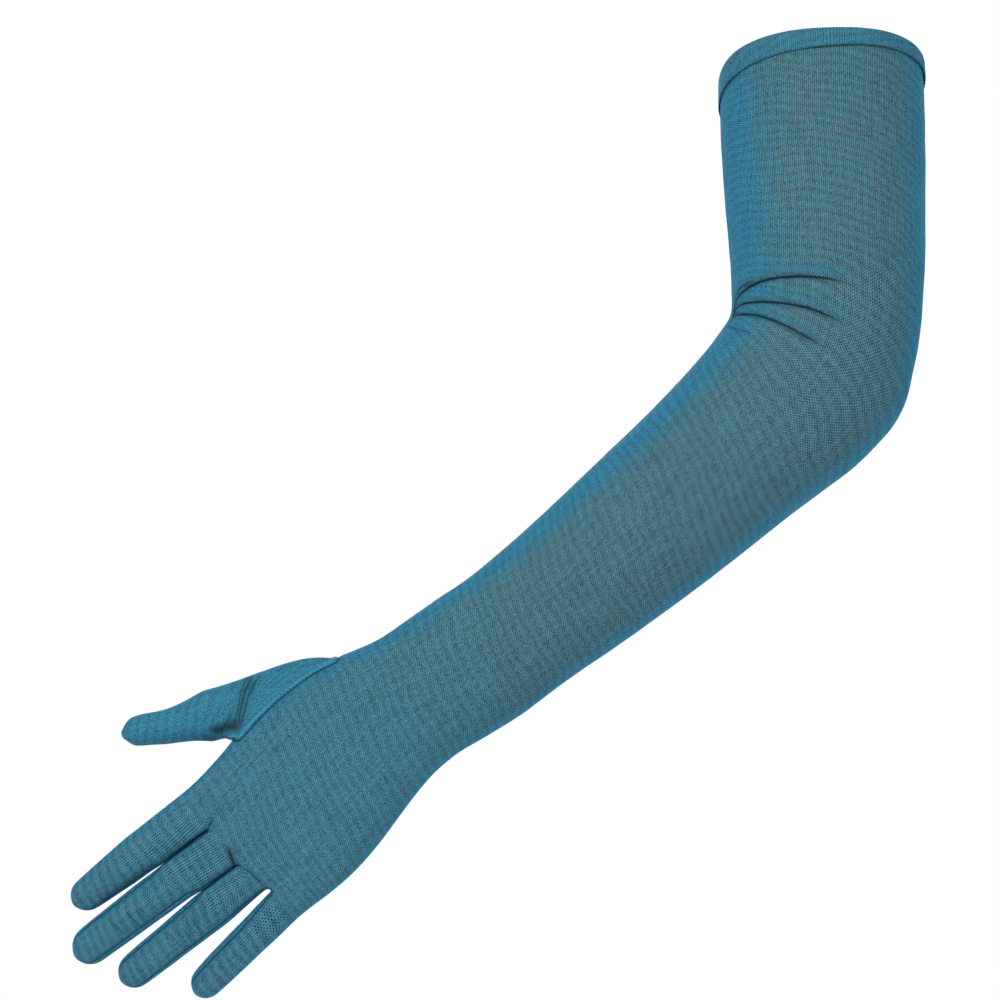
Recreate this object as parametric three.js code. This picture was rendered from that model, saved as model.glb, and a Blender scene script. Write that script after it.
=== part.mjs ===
// Long tulle glove for the left hand, cut and sewn to keep the form of a bent arm.
// Millimetres, +Z up, -Y towards the back of the hand. The origin is the centre of the opening.
import * as THREE from 'three';

// Driving sizes
const UPPER_ARM = 145.5;
const FOREARM = 223.2;
const PALM = 117.7;
const ELBOW_CURVE = 34;
const WRIST_CURVE = 45;
const UPPER_LEAN = 25.2;
const FOREARM_DROP = 39.3;
const HAND_DROP = 41.2;
const ARM_WIDTH = 94;
const ARM_DEPTH = 86;
const HAND_WIDTH = 75;
const FINGER_WIDTH = 18;
const MIDDLE_FINGER = 80.5;
const THUMB_LENGTH = 50.4;
const THUMB_WIDTH = 22.5;
const THUMB_SPREAD = 29.4;
const BAND_HEIGHT = 9.3;
const OPENING_SLANT = 3;
const BAND_SLANT = 6.5;
const WALL = 1;
const SEAM_GAP = 0.3;

const ROUTE = UPPER_ARM + FOREARM + PALM;

// Sleeve sections: at is a share of ROUTE, inner and outer are shares of ARM_WIDTH
// measured from the route towards the thumb side and the little-finger side,
// back and palm are shares of ARM_DEPTH, square is the exponent of the rounded section.
const SECTIONS = [
  { at: 0.0000, inner: 0.490, outer: 0.490, back: 0.491, palm: 0.491, square: 2.36 },
  { at: 0.0500, inner: 0.492, outer: 0.493, back: 0.490, palm: 0.490, square: 2.12 },
  { at: 0.1250, inner: 0.477, outer: 0.483, back: 0.494, palm: 0.494, square: 2.05 },
  { at: 0.2000, inner: 0.454, outer: 0.466, back: 0.488, palm: 0.488, square: 2.08 },
  { at: 0.2410, inner: 0.448, outer: 0.446, back: 0.476, palm: 0.482, square: 2.10 },
  { at: 0.2790, inner: 0.441, outer: 0.455, back: 0.465, palm: 0.476, square: 2.12 },
  { at: 0.3040, inner: 0.437, outer: 0.480, back: 0.455, palm: 0.476, square: 2.12 },
  { at: 0.3280, inner: 0.434, outer: 0.475, back: 0.448, palm: 0.470, square: 2.12 },
  { at: 0.3530, inner: 0.426, outer: 0.456, back: 0.442, palm: 0.459, square: 2.12 },
  { at: 0.3740, inner: 0.405, outer: 0.440, back: 0.430, palm: 0.448, square: 2.12 },
  { at: 0.4320, inner: 0.362, outer: 0.432, back: 0.405, palm: 0.420, square: 2.12 },
  { at: 0.4910, inner: 0.338, outer: 0.427, back: 0.380, palm: 0.394, square: 2.14 },
  { at: 0.5490, inner: 0.312, outer: 0.418, back: 0.352, palm: 0.362, square: 2.16 },
  { at: 0.6070, inner: 0.293, outer: 0.394, back: 0.322, palm: 0.328, square: 2.20 },
  { at: 0.6650, inner: 0.288, outer: 0.370, back: 0.288, palm: 0.290, square: 2.24 },
  { at: 0.7240, inner: 0.316, outer: 0.357, back: 0.252, palm: 0.258, square: 2.28 },
  { at: 0.7650, inner: 0.335, outer: 0.320, back: 0.232, palm: 0.244, square: 2.30 },
  { at: 0.7820, inner: 0.357, outer: 0.301, back: 0.226, palm: 0.244, square: 2.32 },
  { at: 0.8000, inner: 0.389, outer: 0.301, back: 0.216, palm: 0.245, square: 2.36 },
  { at: 0.8150, inner: 0.415, outer: 0.307, back: 0.204, palm: 0.245, square: 2.40 },
  { at: 0.8480, inner: 0.444, outer: 0.344, back: 0.182, palm: 0.240, square: 2.45 },
  { at: 0.8820, inner: 0.450, outer: 0.383, back: 0.168, palm: 0.226, square: 2.50 },
  { at: 0.9150, inner: 0.441, outer: 0.406, back: 0.158, palm: 0.196, square: 2.50 },
  { at: 0.9480, inner: 0.416, outer: 0.410, back: 0.150, palm: 0.166, square: 2.50 },
  { at: 0.9810, inner: 0.402, outer: 0.402, back: 0.146, palm: 0.146, square: 2.50 },
  { at: 1.0000, inner: 0.403, outer: 0.400, back: 0.143, palm: 0.140, square: 2.50 },
];

// Rings of the sleeve and hand, as shares of ROUTE. Each panel is made in lengths that end at
// the elbow and the wrist, and the thumb's gusset starts and ends on a ring too.
const ELBOW_RING = 0.3040;
const WRIST_RING = 0.7630;
const GUSSET_START = 0.8090;
const GUSSET_END = 0.9230;
const RINGS = [
  0.0035, 0.0175, 0.0480, 0.0900, 0.1300, 0.1660, 0.1870, 0.2040, 0.2190, 0.2320,
  0.2440, 0.2560, 0.2680, 0.2800, 0.2920, ELBOW_RING, 0.3165, 0.3300, 0.3460, 0.3660, 0.3920,
  0.4340, 0.4840, 0.5360, 0.5880, 0.6360, 0.6780, 0.7120, 0.7400, WRIST_RING,
  0.7840, GUSSET_START, 0.8310, 0.8600, 0.8890, GUSSET_END, 0.9370, 0.9560, 0.9740, 0.9880, 1.0000,
];
const ELBOW = RINGS.indexOf(ELBOW_RING);
const WRIST = RINGS.indexOf(WRIST_RING);
const THUMB_TOP = RINGS.indexOf(GUSSET_START);
const THUMB_BOTTOM = RINGS.indexOf(GUSSET_END);
// How far past column BACK_END the gusset's seam runs over the back, in columns
const GUSSET_SEAM_SHIFT = 0.8;

// Where the finger roots meet at the last ring: side is a share of HAND_WIDTH from the
// route towards the little finger, gap is the web's width, ahead a share of HAND_WIDTH
// past the ring along the hand.
const WEBS = [
  { name: 'ring_little', side: 0.257, gap: 0.026, ahead: -0.064 },
  { name: 'middle_ring', side: 0.022, gap: 0.026, ahead: -0.003 },
  { name: 'index_middle', side: -0.240, gap: 0.024, ahead: -0.015 },
];

// Fingers: length is a share of MIDDLE_FINGER, side of HAND_WIDTH, turn in degrees towards
// the little finger, widths w0 to w4 from root to tip are shares of FINGER_WIDTH,
// drop is how far the tip hangs towards the palm as a share of MIDDLE_FINGER.
const FINGERS = [
  { name: 'little', length: 0.646, side: 0.390, turn: 3.6, w: [0.97, 0.91, 0.87, 0.84, 0.77], drop: 0.120 },
  { name: 'ring', length: 0.905, side: 0.135, turn: -2.5, w: [1.03, 1.03, 0.97, 0.93, 0.86], drop: 0.085 },
  { name: 'middle', length: 1.000, side: -0.109, turn: -4.4, w: [1.06, 1.06, 1.05, 1.01, 0.91], drop: 0.07 },
  { name: 'index', length: 0.820, side: -0.374, turn: -3.8, w: [1.08, 1.08, 1.04, 0.93, 0.78], drop: 0.085 },
];
const FINGER_STEPS = [0.10, 0.23, 0.38, 0.54, 0.71, 0.88];
const FINGER_DEPTH = 0.86;
// Side lean of every fingertip towards the little finger, as a share of FINGER_WIDTH
const TIP_LEAN = 0.028;
// Where the back's seams run round each finger, in degrees from its little-finger side
const BACK_SEAMS = {
  little: [44, 141], ring: [26, 155], middle: [33, 163], index: [20, 136],
};
const PALM_SEAMS = [224, 316];

// Thumb: stations along THUMB_LENGTH from the crotch, rise across its axis as a share of
// THUMB_WIDTH, wide and deep as shares of THUMB_WIDTH.
const THUMB = [
  { along: 0.260, rise: -0.040, wide: 1.040, deep: 0.800 },
  { along: 0.400, rise: -0.059, wide: 0.830, deep: 0.760 },
  { along: 0.530, rise: -0.089, wide: 0.727, deep: 0.720 },
  { along: 0.660, rise: -0.092, wide: 0.665, deep: 0.680 },
  { along: 0.790, rise: -0.055, wide: 0.625, deep: 0.640 },
];
const THUMB_ROOT = { at: 0.894, ahead: 0.147, side: -0.670, palm: 0.195 };
const THUMB_RAMP = [0.10, 0.24, 0.40, 0.60, 0.80];
// Directions in which the gusset leaves the sleeve at four places round its edge: along the
// hand, over the palm, at the crotch and over the back.
const GUSSET_WAYS = [
  { at: 3, ahead: 0.80, across: -0.84, palm: 0 },
  { at: 8, ahead: 0.35, across: -0.75, palm: 0.30 },
  { at: 13, ahead: 0.80, across: -0.75, palm: 0 },
  { at: 18, ahead: 0.15, across: -0.72, palm: 0.55 },
];

// Folds: a run of points (at as a share of ROUTE, side as a share of ARM_WIDTH), the depth
// of the dent, the height of the ridge beside it and its reach, as shares of ARM_WIDTH.
const FOLDS = [
  {
    run: [
      [0.270, -0.430], [0.227, -0.404], [0.218, -0.308], [0.214, -0.181], [0.214, -0.064], [0.222, 0.074],
    ],
    dent: 0.026, ridge: 0.020, reach: 0.040,
  },
  {
    run: [
      [0.282, -0.430], [0.256, -0.394], [0.247, -0.298], [0.247, -0.138], [0.252, -0.032], [0.260, 0.085],
    ],
    dent: 0.028, ridge: 0.022, reach: 0.040,
  },
  {
    run: [[0.289, -0.420], [0.277, -0.340], [0.274, -0.245], [0.279, -0.117], [0.287, 0.011]],
    dent: 0.024, ridge: 0.018, reach: 0.038,
  },
];

const rad = (degrees) => degrees * Math.PI / 180;
const clamp01 = (t) => Math.min(1, Math.max(0, t));
const smooth = (t) => {
  const k = clamp01(t);
  return k * k * (3 - 2 * k);
};
const mix = (a, b, t) => a + (b - a) * t;
const blend = (p, q, t) => p.clone().lerp(q, t);

// Route from the opening to the finger roots: three straight runs with rounded corners
const downArm = new THREE.Vector3(
  -Math.sin(rad(0.7)), -Math.sin(rad(UPPER_LEAN)), -Math.cos(rad(UPPER_LEAN)),
).normalize();
const downForearm = new THREE.Vector3(
  -Math.cos(rad(FOREARM_DROP)), 0, -Math.sin(rad(FOREARM_DROP)),
).normalize();
const downHand = new THREE.Vector3(
  -Math.cos(rad(HAND_DROP)), 0.018, -Math.sin(rad(HAND_DROP)),
).normalize();
const opening = new THREE.Vector3(0, 0, 0);
const elbow = opening.clone().addScaledVector(downArm, UPPER_ARM);
const wrist = elbow.clone().addScaledVector(downForearm, FOREARM);
const roots = wrist.clone().addScaledVector(downHand, PALM);

const ahead = downHand.clone();
const across = ahead.clone().cross(new THREE.Vector3(0, 1, 0)).normalize();
const outOfBack = ahead.clone().cross(across).normalize();

function buildRoute() {
  const path = [];
  const straight = (a, b, n) => {
    for (let i = 0; i < n; i += 1) {
      path.push(blend(a, b, i / n));
    }
  };
  const corner = (a, c, b, n) => {
    for (let i = 0; i < n; i += 1) {
      path.push(blend(blend(a, c, i / n), blend(c, b, i / n), i / n));
    }
  };
  const e0 = elbow.clone().addScaledVector(downArm, -ELBOW_CURVE);
  const e1 = elbow.clone().addScaledVector(downForearm, ELBOW_CURVE);
  const w0 = wrist.clone().addScaledVector(downForearm, -WRIST_CURVE);
  const w1 = wrist.clone().addScaledVector(downHand, WRIST_CURVE);
  straight(opening.clone().addScaledVector(downArm, -10), e0, 60);
  corner(e0, elbow, e1, 80);
  straight(e1, w0, 80);
  corner(w0, wrist, w1, 80);
  straight(w1, roots.clone().addScaledVector(downHand, 20), 60);
  path.push(roots.clone().addScaledVector(downHand, 20));
  const length = [-10];
  for (let i = 1; i < path.length; i += 1) {
    length.push(length[i - 1] + path[i].distanceTo(path[i - 1]));
  }
  return { path, length };
}
const route = buildRoute();
const routeEnd = route.length[route.length.length - 1] - 20;

function onRoute(distance) {
  const { path, length } = route;
  let i = 1;
  while (i < path.length - 1 && length[i] < distance) {
    i += 1;
  }
  const t = (distance - length[i - 1]) / (length[i] - length[i - 1]);
  return blend(path[i - 1], path[i], t);
}

function frameAt(share) {
  const distance = share * routeEnd;
  const centre = onRoute(distance);
  const tangent = onRoute(distance + 2).sub(onRoute(distance - 2)).normalize();
  const side = tangent.clone().cross(new THREE.Vector3(0, 1, 0)).normalize();
  const back = tangent.clone().cross(side).normalize();
  return { centre, tangent, side, back };
}

// Smooth value of one column of the section table
function sectionValue(share, column) {
  let i = 1;
  while (i < SECTIONS.length - 1 && SECTIONS[i].at < share) {
    i += 1;
  }
  const at = (k) => SECTIONS[Math.min(SECTIONS.length - 1, Math.max(0, k))];
  const slope = (k) => {
    const lo = at(k - 1);
    const hi = at(k + 1);
    return (hi[column] - lo[column]) / (hi.at - lo.at);
  };
  const p = at(i - 1);
  const q = at(i);
  const span = q.at - p.at;
  const t = clamp01((share - p.at) / span);
  const t2 = t * t;
  const t3 = t2 * t;
  return (2 * t3 - 3 * t2 + 1) * p[column] + (t3 - 2 * t2 + t) * span * slope(i - 1)
    + (-2 * t3 + 3 * t2) * q[column] + (t3 - t2) * span * slope(i);
}

// Columns round the sleeve: 0 to BACK_END over the back from the little-finger side to the
// thumb side, then round the thumb side, PALM_START to PALM_END over the palm, and back round.
// The panels meet after THUMB_SEAM and before LITTLE_SEAM.
const COLUMNS = 38;
const BACK_END = 15;
const THUMB_SEAM = 16;
const PALM_START = 19;
const PALM_END = 34;
const LITTLE_SEAM = 36;
const SIDE_STEP = 360 / COLUMNS;
const evenAngle = (c) => rad((c + 2) * SIDE_STEP);

const rootSides = (() => {
  const half = HAND_WIDTH / 2;
  const edgeLittle = half * 0.93;
  const edgeIndex = -half * 0.95;
  const stops = [edgeLittle];
  for (const web of WEBS) {
    const middle = web.side * HAND_WIDTH;
    const gap = web.gap * HAND_WIDTH / 2;
    stops.push(middle + gap, middle - gap);
  }
  stops.push(edgeIndex);
  const sides = [];
  for (let f = 0; f < 4; f += 1) {
    for (let k = 0; k < 4; k += 1) {
      sides.push(mix(stops[2 * f], stops[2 * f + 1], k / 3));
    }
  }
  return sides;
})();

function rootAngle(c) {
  const wide = (sectionValue(1, 'inner') + sectionValue(1, 'outer')) / 2 * ARM_WIDTH;
  const shift = (sectionValue(1, 'outer') - sectionValue(1, 'inner')) / 2 * ARM_WIDTH;
  const power = sectionValue(1, 'square') / 2;
  const angleOf = (side) => {
    const share = Math.max(-0.995, Math.min(0.995, (side - shift) / wide));
    return Math.acos(Math.sign(share) * Math.pow(Math.abs(share), power));
  };
  if (c <= BACK_END) {
    return angleOf(rootSides[c]);
  }
  if (c >= PALM_START && c <= PALM_END) {
    return 2 * Math.PI - angleOf(rootSides[PALM_END - c]);
  }
  if (c < PALM_START) {
    const from = angleOf(rootSides[BACK_END]);
    return mix(from, 2 * Math.PI - from, (c - BACK_END) / (PALM_START - BACK_END));
  }
  const from = angleOf(rootSides[0]);
  return mix(2 * Math.PI - from, 2 * Math.PI + from, (c - PALM_END) / (COLUMNS - PALM_END));
}
const rootAngles = Array.from({ length: COLUMNS }, (_, c) => rootAngle(c));

const webColumns = [3.5, 7.5, 11.5];
const LITTLE_AHEAD = -0.085;
const aheadAt = (() => {
  const [nearLittle, nearRing, nearIndex] = WEBS.map((web) => web.ahead);
  const [web1, web2, web3] = webColumns;
  const list = [
    [BACK_END, nearIndex], [web3, nearIndex], [web2, nearRing], [web1, nearLittle], [0, LITTLE_AHEAD],
  ];
  return (column) => {
    for (let i = 1; i < list.length; i += 1) {
      if (column >= list[i][0]) {
        const t = (column - list[i][0]) / (list[i - 1][0] - list[i][0]);
        return mix(list[i][1], list[i - 1][1], t) * HAND_WIDTH;
      }
    }
    return list[list.length - 1][1] * HAND_WIDTH;
  };
})();

function backColumn(c) {
  if (c <= BACK_END) {
    return c;
  }
  if (c < PALM_START) {
    return BACK_END;
  }
  return c <= PALM_END ? PALM_END - c : 0;
}

// How far the cloth is pushed out or in by the folds at a place on the back of the sleeve
function foldPush(share, side) {
  let push = 0;
  for (const fold of FOLDS) {
    let nearest = Infinity;
    let away = 0;
    for (let i = 1; i < fold.run.length; i += 1) {
      const ax = fold.run[i - 1][0] * routeEnd;
      const ay = fold.run[i - 1][1] * ARM_WIDTH;
      const bx = fold.run[i][0] * routeEnd;
      const by = fold.run[i][1] * ARM_WIDTH;
      const px = share * routeEnd;
      const length2 = (bx - ax) ** 2 + (by - ay) ** 2;
      const t = clamp01(((px - ax) * (bx - ax) + (side - ay) * (by - ay)) / length2);
      const dx = px - mix(ax, bx, t);
      const dy = side - mix(ay, by, t);
      const d = Math.hypot(dx, dy);
      if (d < nearest) {
        nearest = d;
        const fade = i === fold.run.length - 1 ? 1 - 0.6 * t : 1;
        away = { d: d / (fold.reach * ARM_WIDTH), above: dx < 0, fade };
      }
    }
    const dent = fold.dent * ARM_WIDTH * Math.exp(-(away.d ** 2));
    const ridge = away.above ? fold.ridge * ARM_WIDTH * Math.exp(-((away.d - 1.6) ** 2)) : 0;
    push += (ridge - dent) * away.fade;
  }
  return push;
}

// A point of the sleeve's outer face, with an offset along the section's outward direction
function sleevePoint(share, c, offset) {
  const { centre, tangent, side, back } = frameAt(share);
  const w = smooth((share - 0.70) / 0.27);
  const angle = mix(evenAngle(c), rootAngles[c] ?? rootAngle(c), w);
  const inner = sectionValue(share, 'inner') * ARM_WIDTH;
  const outer = sectionValue(share, 'outer') * ARM_WIDTH;
  const rise = sectionValue(share, 'back') * ARM_DEPTH;
  const palm = sectionValue(share, 'palm') * ARM_DEPTH;
  const square = sectionValue(share, 'square');
  const a = (inner + outer) / 2;
  const b = (rise + palm) / 2;
  const cos = Math.cos(angle);
  const sin = Math.sin(angle);
  let x = a * Math.sign(cos) * Math.pow(Math.abs(cos), 2 / square);
  let y = b * Math.sign(sin) * Math.pow(Math.abs(sin), 2 / square);
  const nx = Math.sign(cos) * Math.pow(Math.abs(cos), 2 - 2 / square) / a;
  const ny = Math.sign(sin) * Math.pow(Math.abs(sin), 2 - 2 / square) / b;
  const nl = Math.hypot(nx, ny);
  let push = offset;
  if (sin > 0 && share > 0.17 && share < 0.34) {
    push += foldPush(share, x + (outer - inner) / 2) * smooth(sin / 0.45);
  }
  const column = backColumn(c);
  for (const web of webColumns) {
    const near = Math.exp(-(((column - web) / 0.9) ** 2));
    y *= 1 - 0.20 * near * smooth((share - 0.93) / 0.07);
  }
  x += push * nx / nl + (outer - inner) / 2;
  y += push * ny / nl + (rise - palm) / 2;
  const tilt = mix(OPENING_SLANT, BAND_SLANT, smooth(share * ROUTE / BAND_HEIGHT));
  const slant = -Math.tan(rad(tilt)) * x * (1 - smooth(share / 0.16));
  const shift = aheadAt(column) * smooth((share - 0.93) / 0.07);
  return centre.addScaledVector(side, x).addScaledVector(back, y)
    .addScaledVector(tangent, slant + shift);
}

// The whole glove as one skin of four-sided faces, each marked with the piece it belongs to
const points = [];
const faces = [];
const addPoint = (p) => {
  points.push(p);
  return points.length - 1;
};
const addFace = (a, b, c, d, piece) => faces.push({ corners: [a, b, c, d], piece });

const sleeve = RINGS.map((share, r) => {
  const ring = [];
  for (let c = 0; c < COLUMNS; c += 1) {
    const onSeam = c === BACK_END && r > THUMB_TOP && r < THUMB_BOTTOM;
    ring.push(addPoint(sleevePoint(share, onSeam ? c + GUSSET_SEAM_SHIFT : c, 0)));
  }
  return ring;
});
function lengthAt(r) {
  if (r < ELBOW) {
    return 'upper_arm';
  }
  return r < WRIST ? 'forearm' : 'hand';
}
for (let r = 0; r < sleeve.length - 1; r += 1) {
  for (let c = 0; c < COLUMNS; c += 1) {
    if (r >= THUMB_TOP && r < THUMB_BOTTOM && c >= BACK_END && c <= PALM_START + 1) {
      continue;
    }
    const next = (c + 1) % COLUMNS;
    const panel = c <= THUMB_SEAM || c >= LITTLE_SEAM ? 'back_panel' : 'palm_panel';
    const here = sleeve[r];
    const below = sleeve[r + 1];
    addFace(here[c], here[next], below[next], below[c], `${panel}_${lengthAt(r)}`);
  }
}

// Webs between the finger roots
const last = sleeve[sleeve.length - 1];
const WEB_SAG = 1.2;
const webSide = new Map();
for (const k of [3, 4, 7, 8, 11, 12]) {
  const top = points[last[k]];
  const bottom = points[last[PALM_END - k]];
  const column = [last[k]];
  for (let i = 1; i < 4; i += 1) {
    const sag = -WEB_SAG * Math.sin(Math.PI * i / 4);
    column.push(addPoint(blend(top, bottom, i / 4).addScaledVector(ahead, sag)));
  }
  column.push(last[PALM_END - k]);
  webSide.set(k, column);
}
const webPieces = ['fourchette_ring_little', 'fourchette_middle_ring', 'fourchette_index_middle'];
[3, 7, 11].forEach((k, n) => {
  const near = webSide.get(k);
  const far = webSide.get(k + 1);
  for (let i = 0; i < 4; i += 1) {
    addFace(near[i], far[i], far[i + 1], near[i + 1], webPieces[n]);
  }
});

// Closes the end of a tube with a small domed grid
function closeTip(ring, acrossCount, deepCount, axis, height, pieceOf) {
  const grid = [];
  for (let i = 0; i <= deepCount; i += 1) {
    grid.push(new Array(acrossCount + 1));
  }
  let n = 0;
  for (let j = 0; j <= acrossCount; j += 1) {
    grid[0][j] = ring[n];
    n += 1;
  }
  for (let i = 1; i <= deepCount; i += 1) {
    grid[i][acrossCount] = ring[n];
    n += 1;
  }
  for (let j = acrossCount - 1; j >= 0; j -= 1) {
    grid[deepCount][j] = ring[n];
    n += 1;
  }
  for (let i = deepCount - 1; i >= 1; i -= 1) {
    grid[i][0] = ring[n];
    n += 1;
  }
  for (let i = 1; i < deepCount; i += 1) {
    for (let j = 1; j < acrossCount; j += 1) {
      const u = i / deepCount;
      const v = j / acrossCount;
      const alongJ = blend(points[grid[i][0]], points[grid[i][acrossCount]], v);
      const alongI = blend(points[grid[0][j]], points[grid[deepCount][j]], u);
      const p = alongJ.add(alongI).multiplyScalar(0.5);
      const lift = height * Math.sqrt(Math.sin(Math.PI * u) * Math.sin(Math.PI * v));
      grid[i][j] = addPoint(p.addScaledVector(axis, lift));
    }
  }
  for (let i = 0; i < deepCount; i += 1) {
    for (let j = 0; j < acrossCount; j += 1) {
      addFace(grid[i][j], grid[i][j + 1], grid[i + 1][j + 1], grid[i + 1][j], pieceOf(i, j));
    }
  }
}

// Fingers
const DOME = [0.34, 0.66, 0.87];
function fingerAngles(name) {
  const [near, far] = BACK_SEAMS[name];
  const [palmFar, palmNear] = PALM_SEAMS;
  const run = (from, to, count) => Array.from({ length: count }, (_, i) => mix(from, to, i / count));
  return [
    ...run(near, far, 3), ...run(far, palmFar, 4), ...run(palmFar, palmNear, 3),
    ...run(palmNear, 360 + near, 4),
  ].map(rad);
}
FINGERS.forEach((finger, f) => {
  const k = 4 * f;
  const radial = f < 3 ? webSide.get(k + 3).slice(1, 4) : [last[16], last[17], last[18]];
  const ulnar = f > 0 ? webSide.get(k).slice(1, 4).reverse() : [last[35], last[36], last[37]];
  const palmSide = PALM_END - k;
  const root = [last[k], last[k + 1], last[k + 2], last[k + 3], ...radial,
    last[palmSide - 3], last[palmSide - 2], last[palmSide - 1], last[palmSide], ...ulnar];
  const length = finger.length * MIDDLE_FINGER;
  const turn = rad(finger.turn);
  const axis = ahead.clone().multiplyScalar(Math.cos(turn)).addScaledVector(across, Math.sin(turn));
  const side = across.clone().multiplyScalar(Math.cos(turn)).addScaledVector(ahead, -Math.sin(turn));
  const base = roots.clone().addScaledVector(across, finger.side * HAND_WIDTH);
  const width = (t) => {
    const u = clamp01(t) * 4;
    const i = Math.min(3, Math.floor(u));
    return mix(finger.w[i], finger.w[i + 1], u - i) * FINGER_WIDTH;
  };
  const centreAt = (t) => base.clone().addScaledVector(axis, t * length)
    .addScaledVector(side, TIP_LEAN * FINGER_WIDTH * t ** 4)
    .addScaledVector(outOfBack, 0.6 - finger.drop * MIDDLE_FINGER * t * t);
  const domeStart = 1 - 0.52 * width(1) / length;
  const angles = fingerAngles(finger.name);
  const rings = [root];
  const ringAt = (t, scale, w) => {
    const centre = centreAt(t);
    const tangent = centreAt(t + 0.02).sub(centreAt(t - 0.02)).normalize();
    const back = tangent.clone().cross(side).normalize();
    const wide = width(t) / 2 * scale;
    const deep = wide * FINGER_DEPTH;
    return angles.map((angle, i) => {
      const p = centre.clone().addScaledVector(side, wide * Math.cos(angle))
        .addScaledVector(back, deep * Math.sin(angle));
      const start = points[root[i]].clone().addScaledVector(axis, t * length);
      return addPoint(blend(start, p, w));
    });
  };
  FINGER_STEPS.forEach((step) => {
    const t = step * domeStart / 0.88;
    rings.push(ringAt(t, 1, smooth(t / 0.26)));
  });
  for (const d of DOME) {
    const t = domeStart + (1 - domeStart) * d;
    rings.push(ringAt(t, Math.sqrt(1 - d * d), 1));
  }
  const nearPiece = f > 0 ? webPieces[f - 1] : null;
  const farPiece = f < 3 ? webPieces[f] : null;
  const backPiece = `back_panel_${finger.name}`;
  const palmPiece = `palm_panel_${finger.name}`;
  const pieceOf = (i) => {
    if (i <= 2) {
      return backPiece;
    }
    if (i <= 6) {
      return farPiece ?? (i <= 4 ? backPiece : palmPiece);
    }
    if (i <= 9) {
      return palmPiece;
    }
    return nearPiece ?? (i >= 12 ? backPiece : palmPiece);
  };
  for (let s = 0; s < rings.length - 1; s += 1) {
    for (let i = 0; i < 14; i += 1) {
      const n = (i + 1) % 14;
      addFace(rings[s][i], rings[s][n], rings[s + 1][n], rings[s + 1][i], pieceOf(i));
    }
  }
  const tipRing = rings[rings.length - 1];
  closeTip(tipRing, 3, 4, axis, 0.10 * width(1), (i) => (i < 2 ? backPiece : palmPiece));
});

// Thumb with its gusset, grown from the opening left in the sleeve
{
  const loop = [];
  const palmEdge = PALM_START + 2;
  for (let c = BACK_END; c <= palmEdge; c += 1) {
    loop.push(sleeve[THUMB_TOP][c]);
  }
  for (let r = THUMB_TOP + 1; r <= THUMB_BOTTOM; r += 1) {
    loop.push(sleeve[r][palmEdge]);
  }
  for (let c = palmEdge - 1; c >= BACK_END; c -= 1) {
    loop.push(sleeve[THUMB_BOTTOM][c]);
  }
  for (let r = THUMB_BOTTOM - 1; r > THUMB_TOP; r -= 1) {
    loop.push(sleeve[r][BACK_END]);
  }
  const spread = rad(THUMB_SPREAD);
  const axis = ahead.clone().multiplyScalar(Math.cos(spread)).addScaledVector(across, -Math.sin(spread));
  const up = across.clone().multiplyScalar(-Math.cos(spread)).addScaledVector(ahead, -Math.sin(spread));
  const palmward = outOfBack.clone().negate();
  const { centre } = frameAt(THUMB_ROOT.at);
  const base = centre.clone().addScaledVector(ahead, THUMB_ROOT.ahead * THUMB_LENGTH)
    .addScaledVector(across, THUMB_ROOT.side * HAND_WIDTH)
    .addScaledVector(palmward, THUMB_ROOT.palm * HAND_WIDTH);
  const ringPoints = (station, scale) => loop.map((_, i) => {
    const turn = rad((i - 3) * 18);
    return base.clone().addScaledVector(axis, station.along * THUMB_LENGTH)
      .addScaledVector(up, (station.rise + station.wide / 2 * scale * Math.cos(turn)) * THUMB_WIDTH)
      .addScaledVector(palmward, station.deep / 2 * scale * Math.sin(turn) * THUMB_WIDTH);
  });
  const firstRing = ringPoints(THUMB[0], 1);
  const leave = loop.map((_, i) => {
    const sum = new THREE.Vector3();
    for (const way of GUSSET_WAYS) {
      const apart = Math.abs(i - way.at);
      const gap = Math.min(apart, loop.length - apart);
      const share = Math.max(0, 1 - gap / 5) ** 1.2;
      sum.addScaledVector(ahead, share * way.ahead).addScaledVector(across, share * way.across)
        .addScaledVector(palmward, share * way.palm);
    }
    return sum.normalize();
  });
  const rings = [loop];
  for (const t of THUMB_RAMP) {
    rings.push(loop.map((index, i) => {
      const from = points[index];
      const to = firstRing[i];
      const reach = from.distanceTo(to);
      const h00 = 2 * t ** 3 - 3 * t ** 2 + 1;
      const h10 = t ** 3 - 2 * t ** 2 + t;
      const h01 = -2 * t ** 3 + 3 * t ** 2;
      const h11 = t ** 3 - t ** 2;
      return addPoint(from.clone().multiplyScalar(h00).addScaledVector(leave[i], h10 * reach)
        .addScaledVector(to, h01).addScaledVector(axis, h11 * reach));
    }));
  }
  THUMB.forEach((station) => rings.push(ringPoints(station, 1).map(addPoint)));
  const end = THUMB[THUMB.length - 1];
  for (const d of DOME) {
    const along = mix(end.along + 0.03, 1, d);
    rings.push(ringPoints({ ...end, along }, Math.sqrt(1 - d * d)).map(addPoint));
  }
  for (let s = 0; s < rings.length - 1; s += 1) {
    for (let i = 0; i < 20; i += 1) {
      const n = (i + 1) % 20;
      addFace(rings[s][i], rings[s][n], rings[s + 1][n], rings[s + 1][i], 'thumb');
    }
  }
  closeTip(rings[rings.length - 1], 6, 4, axis, 0.10 * THUMB_WIDTH, () => 'thumb');
}

// Outward direction at each point of the skin
const normals = points.map(() => new THREE.Vector3());
for (const { corners } of faces) {
  const [a, b, c, d] = corners.map((i) => points[i]);
  const normal = c.clone().sub(a).cross(d.clone().sub(b));
  corners.forEach((i) => normals[i].add(normal));
}
normals.forEach((n) => n.normalize());

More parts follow.
